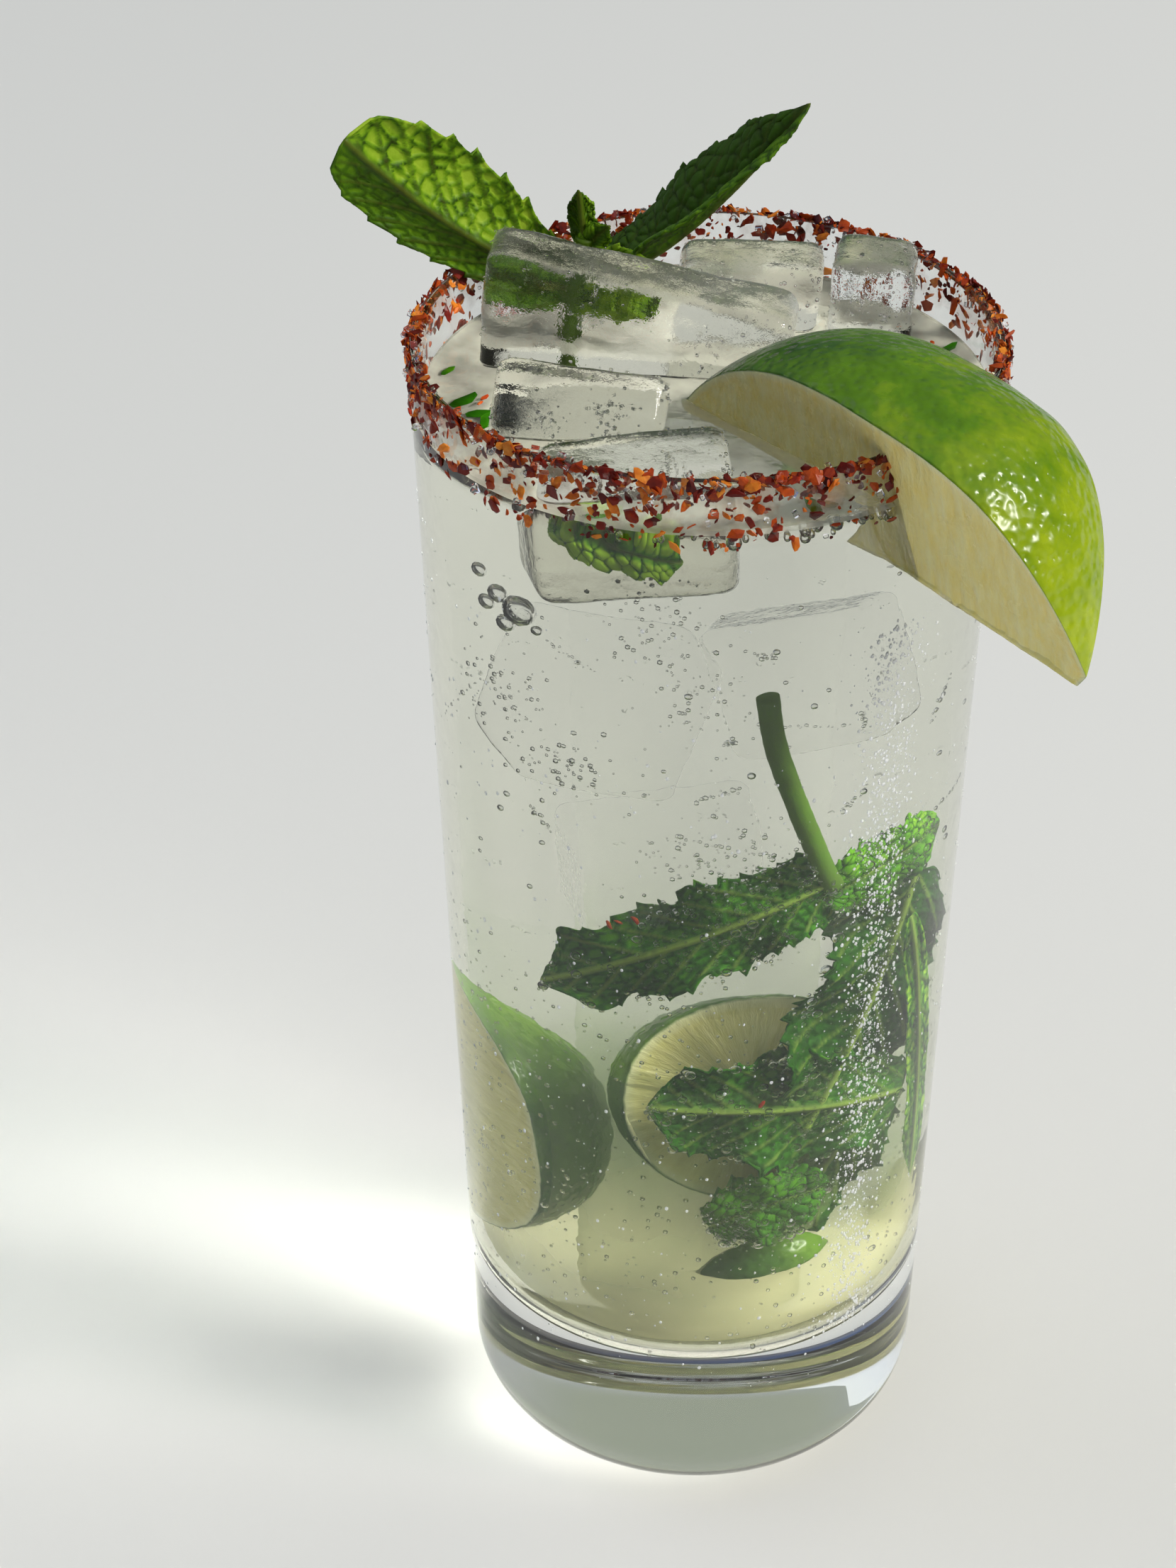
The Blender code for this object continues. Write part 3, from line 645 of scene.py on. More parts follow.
def ice_points(size, centre, turns, seed, shrink=0.0):
    """A block of ice as six square grids: a box with round edges that tapers and leans by a seeded
    rule, its surface sunk and raised by soft waves where it has melted."""
    line = np.linspace(-1.0, 1.0, ICE_STEPS)
    line = np.sign(line) * np.abs(line) ** 0.75
    a, b = np.meshgrid(line, line, indexing="ij")
    one = np.ones_like(a)
    sides = [(one, a, b), (-one, b, a), (b, one, a), (a, -one, b), (a, b, one), (b, a, -one)]
    cube = np.stack([np.stack(side, -1) for side in sides])
    half = 0.5 * np.array(size)
    core = half - ICE_ROUNDING
    reached = cube * half
    held = np.clip(reached, -core, core)
    away = reached - held
    length = np.linalg.norm(away, axis=-1, keepdims=True)
    direction = away / np.maximum(length, 1e-9)
    box = held + direction * (ICE_ROUNDING - shrink)
    rng = np.random.RandomState(seed)
    taper_x, taper_y = rng.uniform(-ICE_TAPER, ICE_TAPER, 2)
    lean_x, lean_y, slope = rng.uniform(-ICE_SHEAR, ICE_SHEAR, 3)
    x, y, z = box[..., 0], box[..., 1], box[..., 2]
    height = z / size[2]
    block = np.stack([x * (1.0 + taper_x * height) + lean_x * z, y * (1.0 + taper_y * height) + lean_y * z,
                      z + slope * x], -1)
    dent = waves(held, 0.011, seed + 20) + 0.4 * waves(held, 0.004, seed + 40)
    block = block + direction * (ICE_MELT * (dent - 1.0))[..., None]
    turn = np.array(Euler([math.radians(value) for value in turns]).to_matrix())
    return block @ turn.T + np.array(centre)


def ice_mesh(name, size, centre, turns, seed, shrink=0.0):
    """A block whose six grids are welded along the edges."""
    points = ice_points(size, centre, turns, seed, shrink)
    faces = [grid_faces(ICE_STEPS, ICE_STEPS, first=side * ICE_STEPS * ICE_STEPS) for side in range(6)]
    mesh = array_mesh(name, points, np.concatenate(faces))
    weld(mesh, 0.00001)
    return mesh


def make_ice():
    look = clear_material("ice", (0.985, 0.99, 0.99), 1.32, (0.96, 0.97, 0.97), dents=ice_melt)
    for name, *shape in ICE_BLOCKS:
        place_piece(name + "_clear", ice_mesh(name, *shape), [look], "ice", name)
    make_frost()


def make_frost():
    """Beads of melt water on the ice above the drink, and air trapped in its middle."""
    rng = np.random.RandomState(51)
    form, faces = ball()
    beads, air = [], []
    for name, size, centre, turns, seed in ICE_BLOCKS:
        flat = ice_points(size, centre, turns, seed).reshape(-1, 3)
        dry = flat[flat[:, 2] > DRINK_LEVEL + 0.0006]
        chosen = dry[rng.randint(0, len(dry), BEADS_A_BLOCK)]
        beads.append(chosen + rng.normal(size=chosen.shape) * 0.00012)
        middle = np.array(centre)
        pockets = middle + (flat[rng.randint(0, len(flat), AIR_POCKETS)] - middle) * 0.45
        for pocket in pockets:
            air.append(pocket + rng.normal(size=(AIR_A_POCKET, 3)) * (0.0011, 0.0008, 0.0011))
        air[-1] = middle + (air[-1] - middle) * 0.6
    for name, clouds, low, spread, ior in (("ice_beads", beads, 0.00009, 0.00022, 1.33),
                                           ("ice_air", air, 0.00008, 0.00024, 0.76)):
        places = np.concatenate(clouds)
        sizes = low + spread * rng.uniform(0.0, 1.0, len(places)) ** 3
        frames = np.eye(3)[None] * sizes[:, None, None]
        place_many(name, form, faces, frames, places, bubble_material(name, ior), "ice", faint=True)


# Drink.

def drink_mesh():
    """A filling of the glass from its floor up to a surface, which creeps up the wall and ripples."""
    z = np.linspace(BASE_THICKNESS + FLOOR_RISE + 0.002, DRINK_LEVEL, 46)[:-1]
    wall = np.stack([inner_radius(z) + WALL_REACH, z], 1)
    edge = inner_radius(DRINK_LEVEL) + WALL_REACH
    share = np.linspace(1.0, 0.0, SURFACE_ROWS) ** 0.8
    creep = CREEP_HEIGHT * np.exp((edge * share - edge) / CREEP_REACH)
    top = np.stack([edge * share, DRINK_LEVEL + creep], 1)
    points = turned(np.concatenate([floor_profile(WALL_REACH), wall, top]), TURNED_STEPS)
    upper = points[-SURFACE_ROWS:]
    upper[..., 2] += RIPPLE_HEIGHT * (1.0 - share[:, None]) ** 0.3 * waves(upper * (1, 1, 0), 0.012, 3)
    mesh = array_mesh("drink_liquid", points, grid_faces(len(points), TURNED_STEPS, wrap=True))
    weld(mesh)
    return mesh


def make_drink():
    """The drink, cut by blocks just smaller than the ice, so that the ice reaches into it."""
    piece = bpy.data.objects.new("drink_liquid", drink_mesh())
    bpy.context.scene.collection.objects.link(piece)
    rooms = bpy.data.collections.new("ice_rooms")
    bpy.context.scene.collection.children.link(rooms)
    for block in ICE_BLOCKS:
        room = ice_mesh("room", *block[1:], shrink=ICE_REACH)
        rooms.objects.link(bpy.data.objects.new("room", room))
    cut = piece.modifiers.new("ice_rooms", "BOOLEAN")
    cut.operation, cut.solver, cut.operand_type = "DIFFERENCE", "MANIFOLD", "COLLECTION"
    cut.collection = rooms
    bpy.context.view_layer.update()
    made = bpy.data.meshes.new_from_object(piece.evaluated_get(bpy.context.evaluated_depsgraph_get()))
    for item in list(rooms.objects) + [piece]:
        bpy.data.objects.remove(item, do_unlink=True)
    bpy.data.collections.remove(rooms)
    made.materials.clear()
    look = clear_material("drink", (0.87, 0.855, 0.765), 1.333, (0.98, 0.985, 0.97), 0.35, drink_ripples)
    place_piece("drink_liquid", made, [look], "drink", "drink")
    make_surface_veil(made)


def make_surface_veil(liquid):
    """Fine pulp just under the surface: the drink's own top, with its rooms for the ice, let down."""
    lowest = DRINK_LEVEL - 0.0008
    bm = bmesh.new()
    bm.from_mesh(liquid)
    rest = [face for face in bm.faces if face.normal.z < 0.7 or face.calc_center_median().z < lowest]
    bmesh.ops.delete(bm, geom=rest, context="FACES")
    bmesh.ops.translate(bm, verts=bm.verts, vec=(0.0, 0.0, -SURFACE_VEIL_DEPTH))
    mesh = bpy.data.meshes.new("surface_veil")
    bm.to_mesh(mesh)
    bm.free()
    place_piece("surface_veil", mesh, [surface_veil_material()], "drink", faint=True)


def surface_veil_material():
    """Fine pulp whose cover drifts around a half."""
    material, tree = new_tree("surface_veil")
    cover = noise(tree, object_place(tree), 180.0, 3.0)
    haze = add(tree, "ShaderNodeBsdfPrincipled", {"Base Color": (0.78, 0.77, 0.69, 1.0), "Roughness": 0.9,
                                                  "Specular IOR Level": 0.0})
    finish_film(tree, cover, haze)
    return material


def make_sunk_ice():
    """Ice wholly sunk in the upper drink, which shows only by its edges and faint dents."""
    look = clear_material("sunk_ice", (0.99, 0.99, 0.985), 0.98, (0.99, 0.99, 0.99), dents=sunk_ice_dents)
    for number, shape in enumerate(SUNK_ICE):
        place_piece("sunk_ice_%d" % number, ice_mesh("sunk_ice", *shape), [look], "ice", faint=True)


def veil_material(name, strength):
    """Lime pulp hanging in the drink: faint and grey-white above, denser and yellow-green below."""
    material, tree = new_tree(name)
    place = object_place(tree)
    height = add(tree, "ShaderNodeSeparateXYZ", {0: place}).outputs["Z"]
    drift = calc(tree, "MULTIPLY", calc(tree, "SUBTRACT", noise(tree, place, 55.0, 2.0), 0.5), 0.05)
    level = add(tree, "ShaderNodeMapRange", {"Value": calc(tree, "ADD", height, drift), "From Min": 0.020,
                                             "From Max": 0.110, "To Min": 0.0, "To Max": 1.0})
    colour = ramp(tree, level.outputs[0], (
        (0.0, (0.68, 0.66, 0.38)), (0.13, (0.60, 0.62, 0.33)), (0.30, (0.26, 0.37, 0.11)),
        (0.52, (0.44, 0.54, 0.28)), (0.72, (0.70, 0.72, 0.62)), (1.0, (0.74, 0.75, 0.70))))
    amount = ramp(tree, level.outputs[0], [(stop, (share * strength,) * 3) for stop, share in (
        (0.0, 0.97), (0.22, 0.55), (0.5, 0.17), (1.0, 0.07))])
    away = add(tree, "ShaderNodeVectorMath", {0: place, 1: GREEN_HAZE}, operation="DISTANCE")
    green = calc(tree, "SUBTRACT", 1.0, calc(tree, "DIVIDE", away.outputs["Value"], GREEN_HAZE_RADIUS), True)
    tinted = blend_colours(tree, green, colour, (0.08, 0.19, 0.03))
    denser = calc(tree, "ADD", amount, calc(tree, "MULTIPLY", green, 0.6 * strength), True)
    finish_film(tree, denser, add(tree, "ShaderNodeBsdfDiffuse", {"Color": tinted}))
    return material


def make_veils():
    """Nested sheets of drifting pulp, from just inside the wall to near the middle."""
    for number, (share, strength, top) in enumerate(VEILS):
        name = "pulp_veil_%d" % number
        z = np.linspace(BASE_THICKNESS + 0.6 * FLOOR_RISE, top, 50)
        wall = np.stack([inner_radius(z) * share, z], 1)
        low = floor_profile(-VEIL_OFF_FLOOR)
        low = low[low[:, 0] < wall[0, 0]]
        points = turned(np.concatenate([low, wall, [[0.0, z[-1] - 0.001]]]), VEIL_STEPS)
        points[..., :2] *= 1.0 - 0.10 * (1.0 - share) * (1.0 + waves(points, 0.05, 60 + number))[..., None]
        mesh = array_mesh(name, points, grid_faces(len(points), VEIL_STEPS, wrap=True))
        weld(mesh)
        place_piece(name, mesh, [veil_material(name, strength)], "drink", faint=True)


# Lime.

def lime_axes(azimuth, dip, lean):
    """A lime's own axes: Z along the fruit, X up through the middle of the wedge's rind."""
    axis = Vector((math.cos(azimuth) * math.cos(dip), math.sin(azimuth) * math.cos(dip), -math.sin(dip)))
    up = Vector((0.0, 0.0, 1.0))
    upright = (up - axis * up.dot(axis)).normalized()
    side = axis.cross(upright)
    middle = upright * math.cos(lean) + side * math.sin(lean)
    return np.array((middle, axis.cross(middle), axis)).T


def lime_mesh(name, axes, centre, length, radius, half_wedge, core, rows=170, arc=70, cut=46, seed=5):
    """A wedge of a lime. Each cross-section is a closed loop: an arc of rind of the fruit's radius
    there, and two cuts, a little hollow, that meet at a point just past the axis. The radius follows
    (1 - |t - skew(1 - t t)|^fullness)^tip, with t from -1 to 1 along the fruit."""
    t = np.cos(np.linspace(math.pi, 0.0, rows))[:, None]
    skewed = t - LIME_SKEW * (1.0 - t * t)
    rind = radius * np.clip(1.0 - np.abs(skewed) ** LIME_FULLNESS, 0.0, 1.0) ** LIME_TIP
    apex = np.minimum(core / math.sin(half_wedge), 0.8 * rind)
    angle = np.linspace(-half_wedge, half_wedge, arc)[None, :]
    share = np.linspace(0.0, 1.0, cut + 2)[1:-1][None, :]
    start_x, end_x = -apex, rind * math.cos(half_wedge)
    end_y = rind * math.sin(half_wedge)
    dent = waves(np.stack([np.cos(angle) * rind, np.sin(angle) * rind, t * 0.5 * length + 0 * angle], -1),
                 0.010, seed)
    shell = rind * (1.0 - 0.006 * (dent + 1.0))
    arc_x, arc_y = shell * np.cos(angle), shell * np.sin(angle)
    first_x = end_x + (start_x - end_x) * share
    first_y = end_y * (1.0 - share)
    last_x, last_y = first_x[:, ::-1], -first_y[:, ::-1]
    x = np.concatenate([arc_x, first_x, start_x, last_x], 1)
    y = np.concatenate([arc_y, first_y, 0.0 * start_x, last_y], 1)
    z = np.broadcast_to(t * 0.5 * length, x.shape)
    far = np.hypot(x, y)
    depth = np.clip(rind - far, 0.0, None)
    depth[:, :arc] = 0.0
    local = np.stack([x, y, z], -1)
    hollow = np.clip(depth / 0.0022, 0.0, 1.0)
    grain = waves(np.stack([0.25 * far, 0.0 * far, z], -1), 0.0016, seed + 1)
    local[..., 0] += math.sin(half_wedge) * hollow * 0.00012 * grain
    local[..., 1] -= np.sign(y) * hollow * (0.0003 + 0.00012 * grain)
    points = local @ axes.T + centre
    values = {"depth": depth, "lengthwise": 0.5 + 0.5 * np.broadcast_to(t, x.shape),
              "outward": far / np.maximum(rind, 1e-6)}
    mesh = array_mesh(name, points, grid_faces(rows, x.shape[1], wrap=True), values)
    weld(mesh)
    return mesh


def make_lime(look):
    axes = lime_axes(LIME_AZIMUTH, LIME_DIP, LIME_LEAN)
    mesh = lime_mesh("lime_wedge_fresh", axes, np.array(LIME_CENTRE), LIME_LENGTH, LIME_RADIUS,
                     LIME_HALF_WEDGE, LIME_CORE)
    place_piece("lime_wedge_fresh", mesh, [look], "lime", "lime_wedge")


# Mint.

def unit(vectors):
    """The vectors, each made one long."""
    return vectors / np.maximum(np.linalg.norm(vectors, axis=-1, keepdims=True), 1e-12)


def leaf_sheet(base, bend, tip, half_width, form, left, right, teeth, seed, along=150, across=64,
               quilt=0.00045, cell=0.0019, tooth=0.12, crumple=0.06, ragged=0.0):
    """A mint leaf's middle surface. The midrib is a quadratic curve from base to tip, and each half
    leaves it along its own vector, out to half_width sin(pi s^widest)^bluntness, less in the last
    1/point of its length. The edge is a row of forward teeth, ragged by soft waves. The blade is domed,
    crumpled and quilted: it rises by the distance from the nearest vein, where the veins are the
    midrib, slanting side veins and the seams between small cells."""
    s = np.linspace(0.0, 1.0, along + 1)[:, None]
    u = np.linspace(-1.0, 1.0, across + 1)[None, :]
    base, bend, tip = np.array(base), np.array(bend), np.array(tip)
    rib = (1 - s) ** 2 * base + 2 * s * (1 - s) * bend + s ** 2 * tip
    run = unit(2 * (1 - s) * (bend - base) + 2 * s * (tip - bend))
    widest, bluntness, point = form
    half = half_width * np.clip(np.sin(math.pi * s ** widest), 0.0, 1.0) ** bluntness + 0.5 * STALK_WIDTH
    half = half * np.clip((1.0 - s) * point, 0.0, 1.0) ** 0.7
    along_rib = np.concatenate([s * 0.04, 0.0 * s, 0.0 * s], 1)
    half = half * (1.0 + ragged * waves(along_rib, 0.006, seed)[:, None])
    phase = (s ** widest * teeth + 0.35 * (u > 0)) % 1.0
    notch = tooth * (1.0 - phase ** 2.5) * np.clip(np.sin(math.pi * s), 0.0, 1.0) ** 0.3
    edge = 1.0 - notch * np.abs(u) ** 5
    reach = half * np.abs(u) * edge
    folded = np.sin(math.pi * s) ** 0.5
    left, right = np.array(left), np.array(right)
    sides = []
    for direction in (left + 0.0 * folded, folded * right - (1 - folded) * left):
        sides.append(direction - run * np.sum(run * direction, axis=1, keepdims=True))
    side = np.where(u[..., None] > 0, sides[0][:, None, :], sides[1][:, None, :])
    normal = np.cross(run[:, None, :], side) * np.where(u[..., None] > 0, 1.0, -1.0)
    length = np.linalg.norm(tip - base)
    x, y = s * length + 0.0 * u, reach * np.sign(u)
    veins = (s - 1.25 * np.abs(y) / length) * 8.0 + 0.5 * (u > 0)
    from_vein = np.abs((veins % 1.0) - 0.5) * 2.0
    gap = cell_gap(x + 0.15 * waves(np.stack([x, y, 0 * x], -1), 0.004, seed) * cell, y * 1.15, cell, seed)
    side_vein = 1.0 - np.clip((1.0 - from_vein) * 5.0, 0.0, 1.0)
    mid_vein = 1.0 - np.clip(np.abs(y) / 0.00045, 0.0, 1.0)
    pillow = np.clip(gap * 3.4, 0.0, 1.0) ** 0.6 * np.clip((1.0 - from_vein) * 3.0, 0.0, 1.0) ** 0.5
    pillow = pillow * np.clip(np.abs(y) / 0.0009, 0.0, 1.0)
    blade = np.clip(np.sin(math.pi * s) * 3.0, 0.0, 1.0)
    dome = 0.10 * half * np.sin(math.pi * np.abs(u))
    wave = crumple * half * np.abs(u) * np.sin(5.0 * math.pi * s + 1.5 * np.sign(u) + 0.3 * seed)
    relief = dome + wave + quilt * blade * pillow - 0.5 * quilt * mid_vein * blade
    points = rib[:, None, :] + side * reach[..., None] + normal * relief[..., None]
    ribs = np.clip(np.maximum(mid_vein, 0.55 * side_vein * (np.abs(u) < 0.85)), 0.0, 1.0)
    return points, pillow, ribs


def closed_sheet(points, thickness):
    """A sheet's two faces, half a thickness to each side along its normals, joined round the rim."""
    rows, cols = points.shape[:2]
    down, across = np.gradient(points, axis=0), np.gradient(points, axis=1)
    normal = unit(np.cross(down, across))
    thin = np.ones((rows, cols))
    thin[[0, -1]] = 0.35
    thin[:, [0, -1]] = 0.25
    offset = normal * (0.5 * thickness * thin)[..., None]
    both = np.stack([points + offset, points - offset])
    upper = grid_faces(rows, cols)
    lower = grid_faces(rows, cols, first=rows * cols)[:, ::-1]
    index = np.arange(rows * cols).reshape(rows, cols)
    rim = np.concatenate([index[0, :-1], index[:-1, -1], index[-1, :0:-1], index[:0:-1, 0]])
    following = np.roll(rim, -1)
    band = np.stack([rim, rim + rows * cols, following + rows * cols, following], 1)
    return both, np.concatenate([upper, lower, band])


def tube(path, radii, steps=14):
    """A closed round tube along a path: at each point a ring across the run, and a cap at each end."""
    path = np.array(path, float)
    run = unit(np.gradient(path, axis=0))
    first = unit(np.cross(run, [0.3, 1.0, 0.1]))
    second = np.cross(run, first)
    angle = np.linspace(0.0, math.tau, steps, endpoint=False)
    ring = first[:, None] * np.cos(angle)[:, None] + second[:, None] * np.sin(angle)[:, None]
    points = path[:, None] + ring * np.broadcast_to(radii, len(path))[:, None, None]
    ends = np.repeat(path[[0, -1], None], steps, 1)
    capped = np.concatenate([ends[:1], points, ends[1:]])
    return capped, grid_faces(len(capped), steps, wrap=True)


def smooth_path(points, count=40):
    """A path through the points, eased by a cubic between each two."""
    points = np.array(points, float)
    place = np.linspace(0.0, len(points) - 1.0, count)
    low = np.minimum(place.astype(int), len(points) - 2)
    share = (place - low)[:, None]
    tangent = np.gradient(points, axis=0)
    a, b, ta, tb = points[low], points[low + 1], tangent[low], tangent[low + 1]
    return ((2 * share ** 3 - 3 * share ** 2 + 1) * a + (share ** 3 - 2 * share ** 2 + share) * ta
            + (3 * share ** 2 - 2 * share ** 3) * b + (share ** 3 - share ** 2) * tb)


def join_arrays(parts):
    """Several sets of points, faces and values as one."""
    points, faces, values, first = [], [], {}, 0
    for some_points, some_faces, some_values in parts:
        points.append(some_points.reshape(-1, 3))
        faces.append(some_faces + first)
        first += len(points[-1])
        for key, array in some_values.items():
            values.setdefault(key, []).append(np.ravel(array))
    joined = {key: np.concatenate(arrays) for key, arrays in values.items()}
    return np.concatenate(points), np.concatenate(faces), joined


def leaves_mesh(name, leaves, painted_shades, stem, stem_radius, **options):
    """Leaves and their stem as one mesh with its rib and quilt values and its painted shade."""
    parts = []
    for number, (leaf, halves) in enumerate(zip(leaves, painted_shades)):
        points, pillow, ribs = leaf_sheet(*leaf, seed=30 + number, **options)
        both, faces = closed_sheet(points, LEAF_THICKNESS)
        share = np.linspace(-1.0, 1.0, points.shape[1])[None, :] + 0.0 * ribs
        # Painted shade: each half of a leaf is darkened or lightened by its own value.
        shade = np.where(share > 0.0, halves[0], halves[1])
        values = {"ribs": ribs, "raised": pillow, "shade": shade}
        parts.append((both, faces, {key: np.stack([value, value]) for key, value in values.items()}))
    points, faces = tube(smooth_path(stem), stem_radius)
    # The stem gets a middling painted shade.
    values = {"ribs": 0.35, "raised": 0.5, "shade": 0.5}
    parts.append((points, faces, {key: np.full(points.shape[:2], value) for key, value in values.items()}))
    points, faces, values = join_arrays(parts)
    mesh = array_mesh(name, points, faces, values)
    weld(mesh, 0.000001)
    return mesh


def make_mint(look):
    mesh = leaves_mesh("mint_sprig_fresh", [leaf[1:] for leaf in MINT_LEAVES], MINT_PAINTED_SHADE, STEM_POINTS,
                       STEM_RADIUS)
    place_piece("mint_sprig_fresh", mesh, [look], "mint", "mint_sprig")


# What is sunk in the drink.

def lime_half_mesh(name, centre, facing, radius, depth, steps=150):
    """The blunt end of a lime: a round cut face and the rind behind it. From the middle of the face
    rows run out to its edge, then back along a quarter of a superellipse to the far end. The flesh
    sinks a little between spoke-like membranes."""
    out = np.linspace(0.0, 1.0, 44) ** 0.8
    back = np.linspace(0.0, 0.5 * math.pi, 30)[1:]
    r = np.concatenate([out, np.cos(back) ** 0.8])[:, None] * radius
    z = np.concatenate([0.0 * out, -np.sin(back) ** 0.9 * depth])[:, None]
    angle = np.linspace(0.0, math.tau, steps, endpoint=False)[None, :]
    depth_in = np.clip(radius - r, 0.0, None) * (z == 0.0) + 0.0 * angle
    spokes = np.abs(np.sin(angle * 4.5 + 0.3)) ** 0.4
    sunk = np.clip(depth_in / 0.002, 0.0, 1.0) * spokes * 0.0005 * np.clip(r / (0.2 * radius), 0.0, 1.0)
    local = np.stack([r * np.cos(angle), r * np.sin(angle), z - sunk], -1)
    points = local @ facing_axes(facing).T + np.array(centre)
    values = {"depth": depth_in, "lengthwise": (angle / math.tau * 2.2) % 1.0 + 0.0 * r,
              "outward": r / radius + 0.0 * angle}
    mesh = array_mesh(name, points, grid_faces(len(r), steps, wrap=True), values)
    weld(mesh)
    return mesh


def facing_axes(towards):
    """Axes whose third points the given way and whose first is level."""
    third = Vector(towards).normalized()
    first = Vector((0.0, 0.0, 1.0)).cross(third).normalized()
    return np.array((first, third.cross(first), third)).T


def leaning_axes(towards, near):
    """Axes whose third points one way and whose first leans to another."""
    third, first = Vector(towards).normalized(), Vector(near)
    first = (first - third * first.dot(third)).normalized()
    return np.array((first, third.cross(first), third)).T


def make_sunk(lime_look, mint_look):
    """Limes, leaves and the loose stem, which lie against the lower wall."""
    place_piece("sunk_lime_half", lime_half_mesh("sunk_lime_half", *SUNK_HALF), [lime_look], "lime")
    for name, centre, fruit, rind, length, radius, half_angle, (rows, arc, cut), seed in SUNK_WEDGES:
        mesh = lime_mesh(name, leaning_axes(fruit, rind), np.array(centre), length, radius,
                         math.radians(half_angle), SUNK_LIME_CORE, rows, arc, cut, seed)
        place_piece(name, mesh, [lime_look], "lime")
    mesh = leaves_mesh("sunk_mint", SUNK_LEAVES, SUNK_PAINTED_SHADE, SUNK_STEM, SUNK_STEM_RADIUS, along=130,
                       across=56, crumple=0.26, tooth=0.15, ragged=0.20, quilt=0.0006, cell=0.0016)
    place_piece("sunk_mint", mesh, [mint_look], "mint")


def make_flecks(mint_look, chili_look):
    """Bits of mint and chili that float on the drink or hang in it, each a thin uneven scale."""
    rng = np.random.RandomState(31)
    form, faces = ball()
    for name, look, slot, length, flatness, spots in (
            ("mint_flecks", mint_look, "mint", 0.0016, 0.08, MINT_FLECKS),
            ("chili_flecks", chili_look, "chili", 0.0007, 0.28, CHILI_FLECKS)):
        places = np.array(spots)
        count = len(places)
        sizes = length * rng.uniform(0.7, 1.3, (count, 1)) * np.array([[1.0, 0.45, flatness]])
        up = np.where(places[:, 2:] > 0.140, [[0.0, 0.0, 1.0]], [[0.0, -1.0, 0.3]])
        tilted = up + rng.normal(0.0, 0.2, up.shape)
        frames = frames_along(tilted, rng.uniform(0.0, ABOUT_A_TURN, count), sizes)
        uneven = rng.uniform(0.7, 1.3, (count, len(form), 1))
        each = np.repeat(rng.uniform(0.45, 0.75, count), len(form))
        place_many(name, form * uneven, faces, frames, places, look, slot,
                   {"tone": each, "shade": each, "raised": each}, smooth=False)


def leaf_places(leaf):
    """Places spread over a sunk leaf."""
    return leaf_sheet(*leaf, seed=30, along=60, across=30)[0].reshape(-1, 3)


def keep_inside(places, limit):
    """Draw places in towards the axis to within a limit."""
    places[:, :2] *= np.minimum(1.0, limit / np.hypot(places[:, 0], places[:, 1]))[:, None]


def make_bubbles():
    rng = np.random.RandomState(12)
    look = bubble_material("gas", 0.75)
    make_large_bubbles(rng, look)
    make_fine_bubbles(rng, look)


def make_large_bubbles(rng, look):
    """Single bubbles at the left, and others on the leaves, in a ring under the surface and along the
    wall. Each is a little flat."""
    places = [bubble[:3] for bubble in SINGLE_BUBBLES]
    sizes = [bubble[3] for bubble in SINGLE_BUBBLES]
    for leaf in LEAVES_WITH_BUBBLES:
        flat = leaf_places(leaf)
        for point in flat[rng.randint(0, len(flat), LARGE_A_LEAF)]:
            size = 0.00022 + 0.00055 * rng.uniform() ** 2.5
            places.append(point + np.array((0.0, -LARGE_OFF_LEAF - size, 0.0)))
            sizes.append(size)
    for bubble in range(RING_BUBBLES):
        angle = rng.uniform(-2.6, -0.5)
        places.append((RING_RADIUS * math.cos(angle), RING_RADIUS * math.sin(angle),
                       RING_LEVEL - rng.uniform(0.0, 0.0012)))
        sizes.append(0.0003 + 0.0006 * rng.uniform() ** 2)
    for bubble in range(WALL_BUBBLES):
        angle, z = rng.uniform(-3.0, -0.1), rng.uniform(0.030, 0.140)
        radius = float(inner_radius(z)) - rng.uniform(0.0012, 0.009)
        places.append((radius * math.cos(angle), radius * math.sin(angle), z))
        sizes.append(0.00022 + 0.00032 * rng.uniform() ** 2)
    places = np.array(places)
    sizes = np.array(sizes)[:, None] * (1.0, 1.0, 0.85)
    keep_inside(places, inner_radius(places[:, 2]) - sizes[:, 0] - 0.0003)
    place_many("bubbles_large", *ball(2), np.eye(3)[None] * sizes[:, None, :], places, look, "drink",
               faint=True)


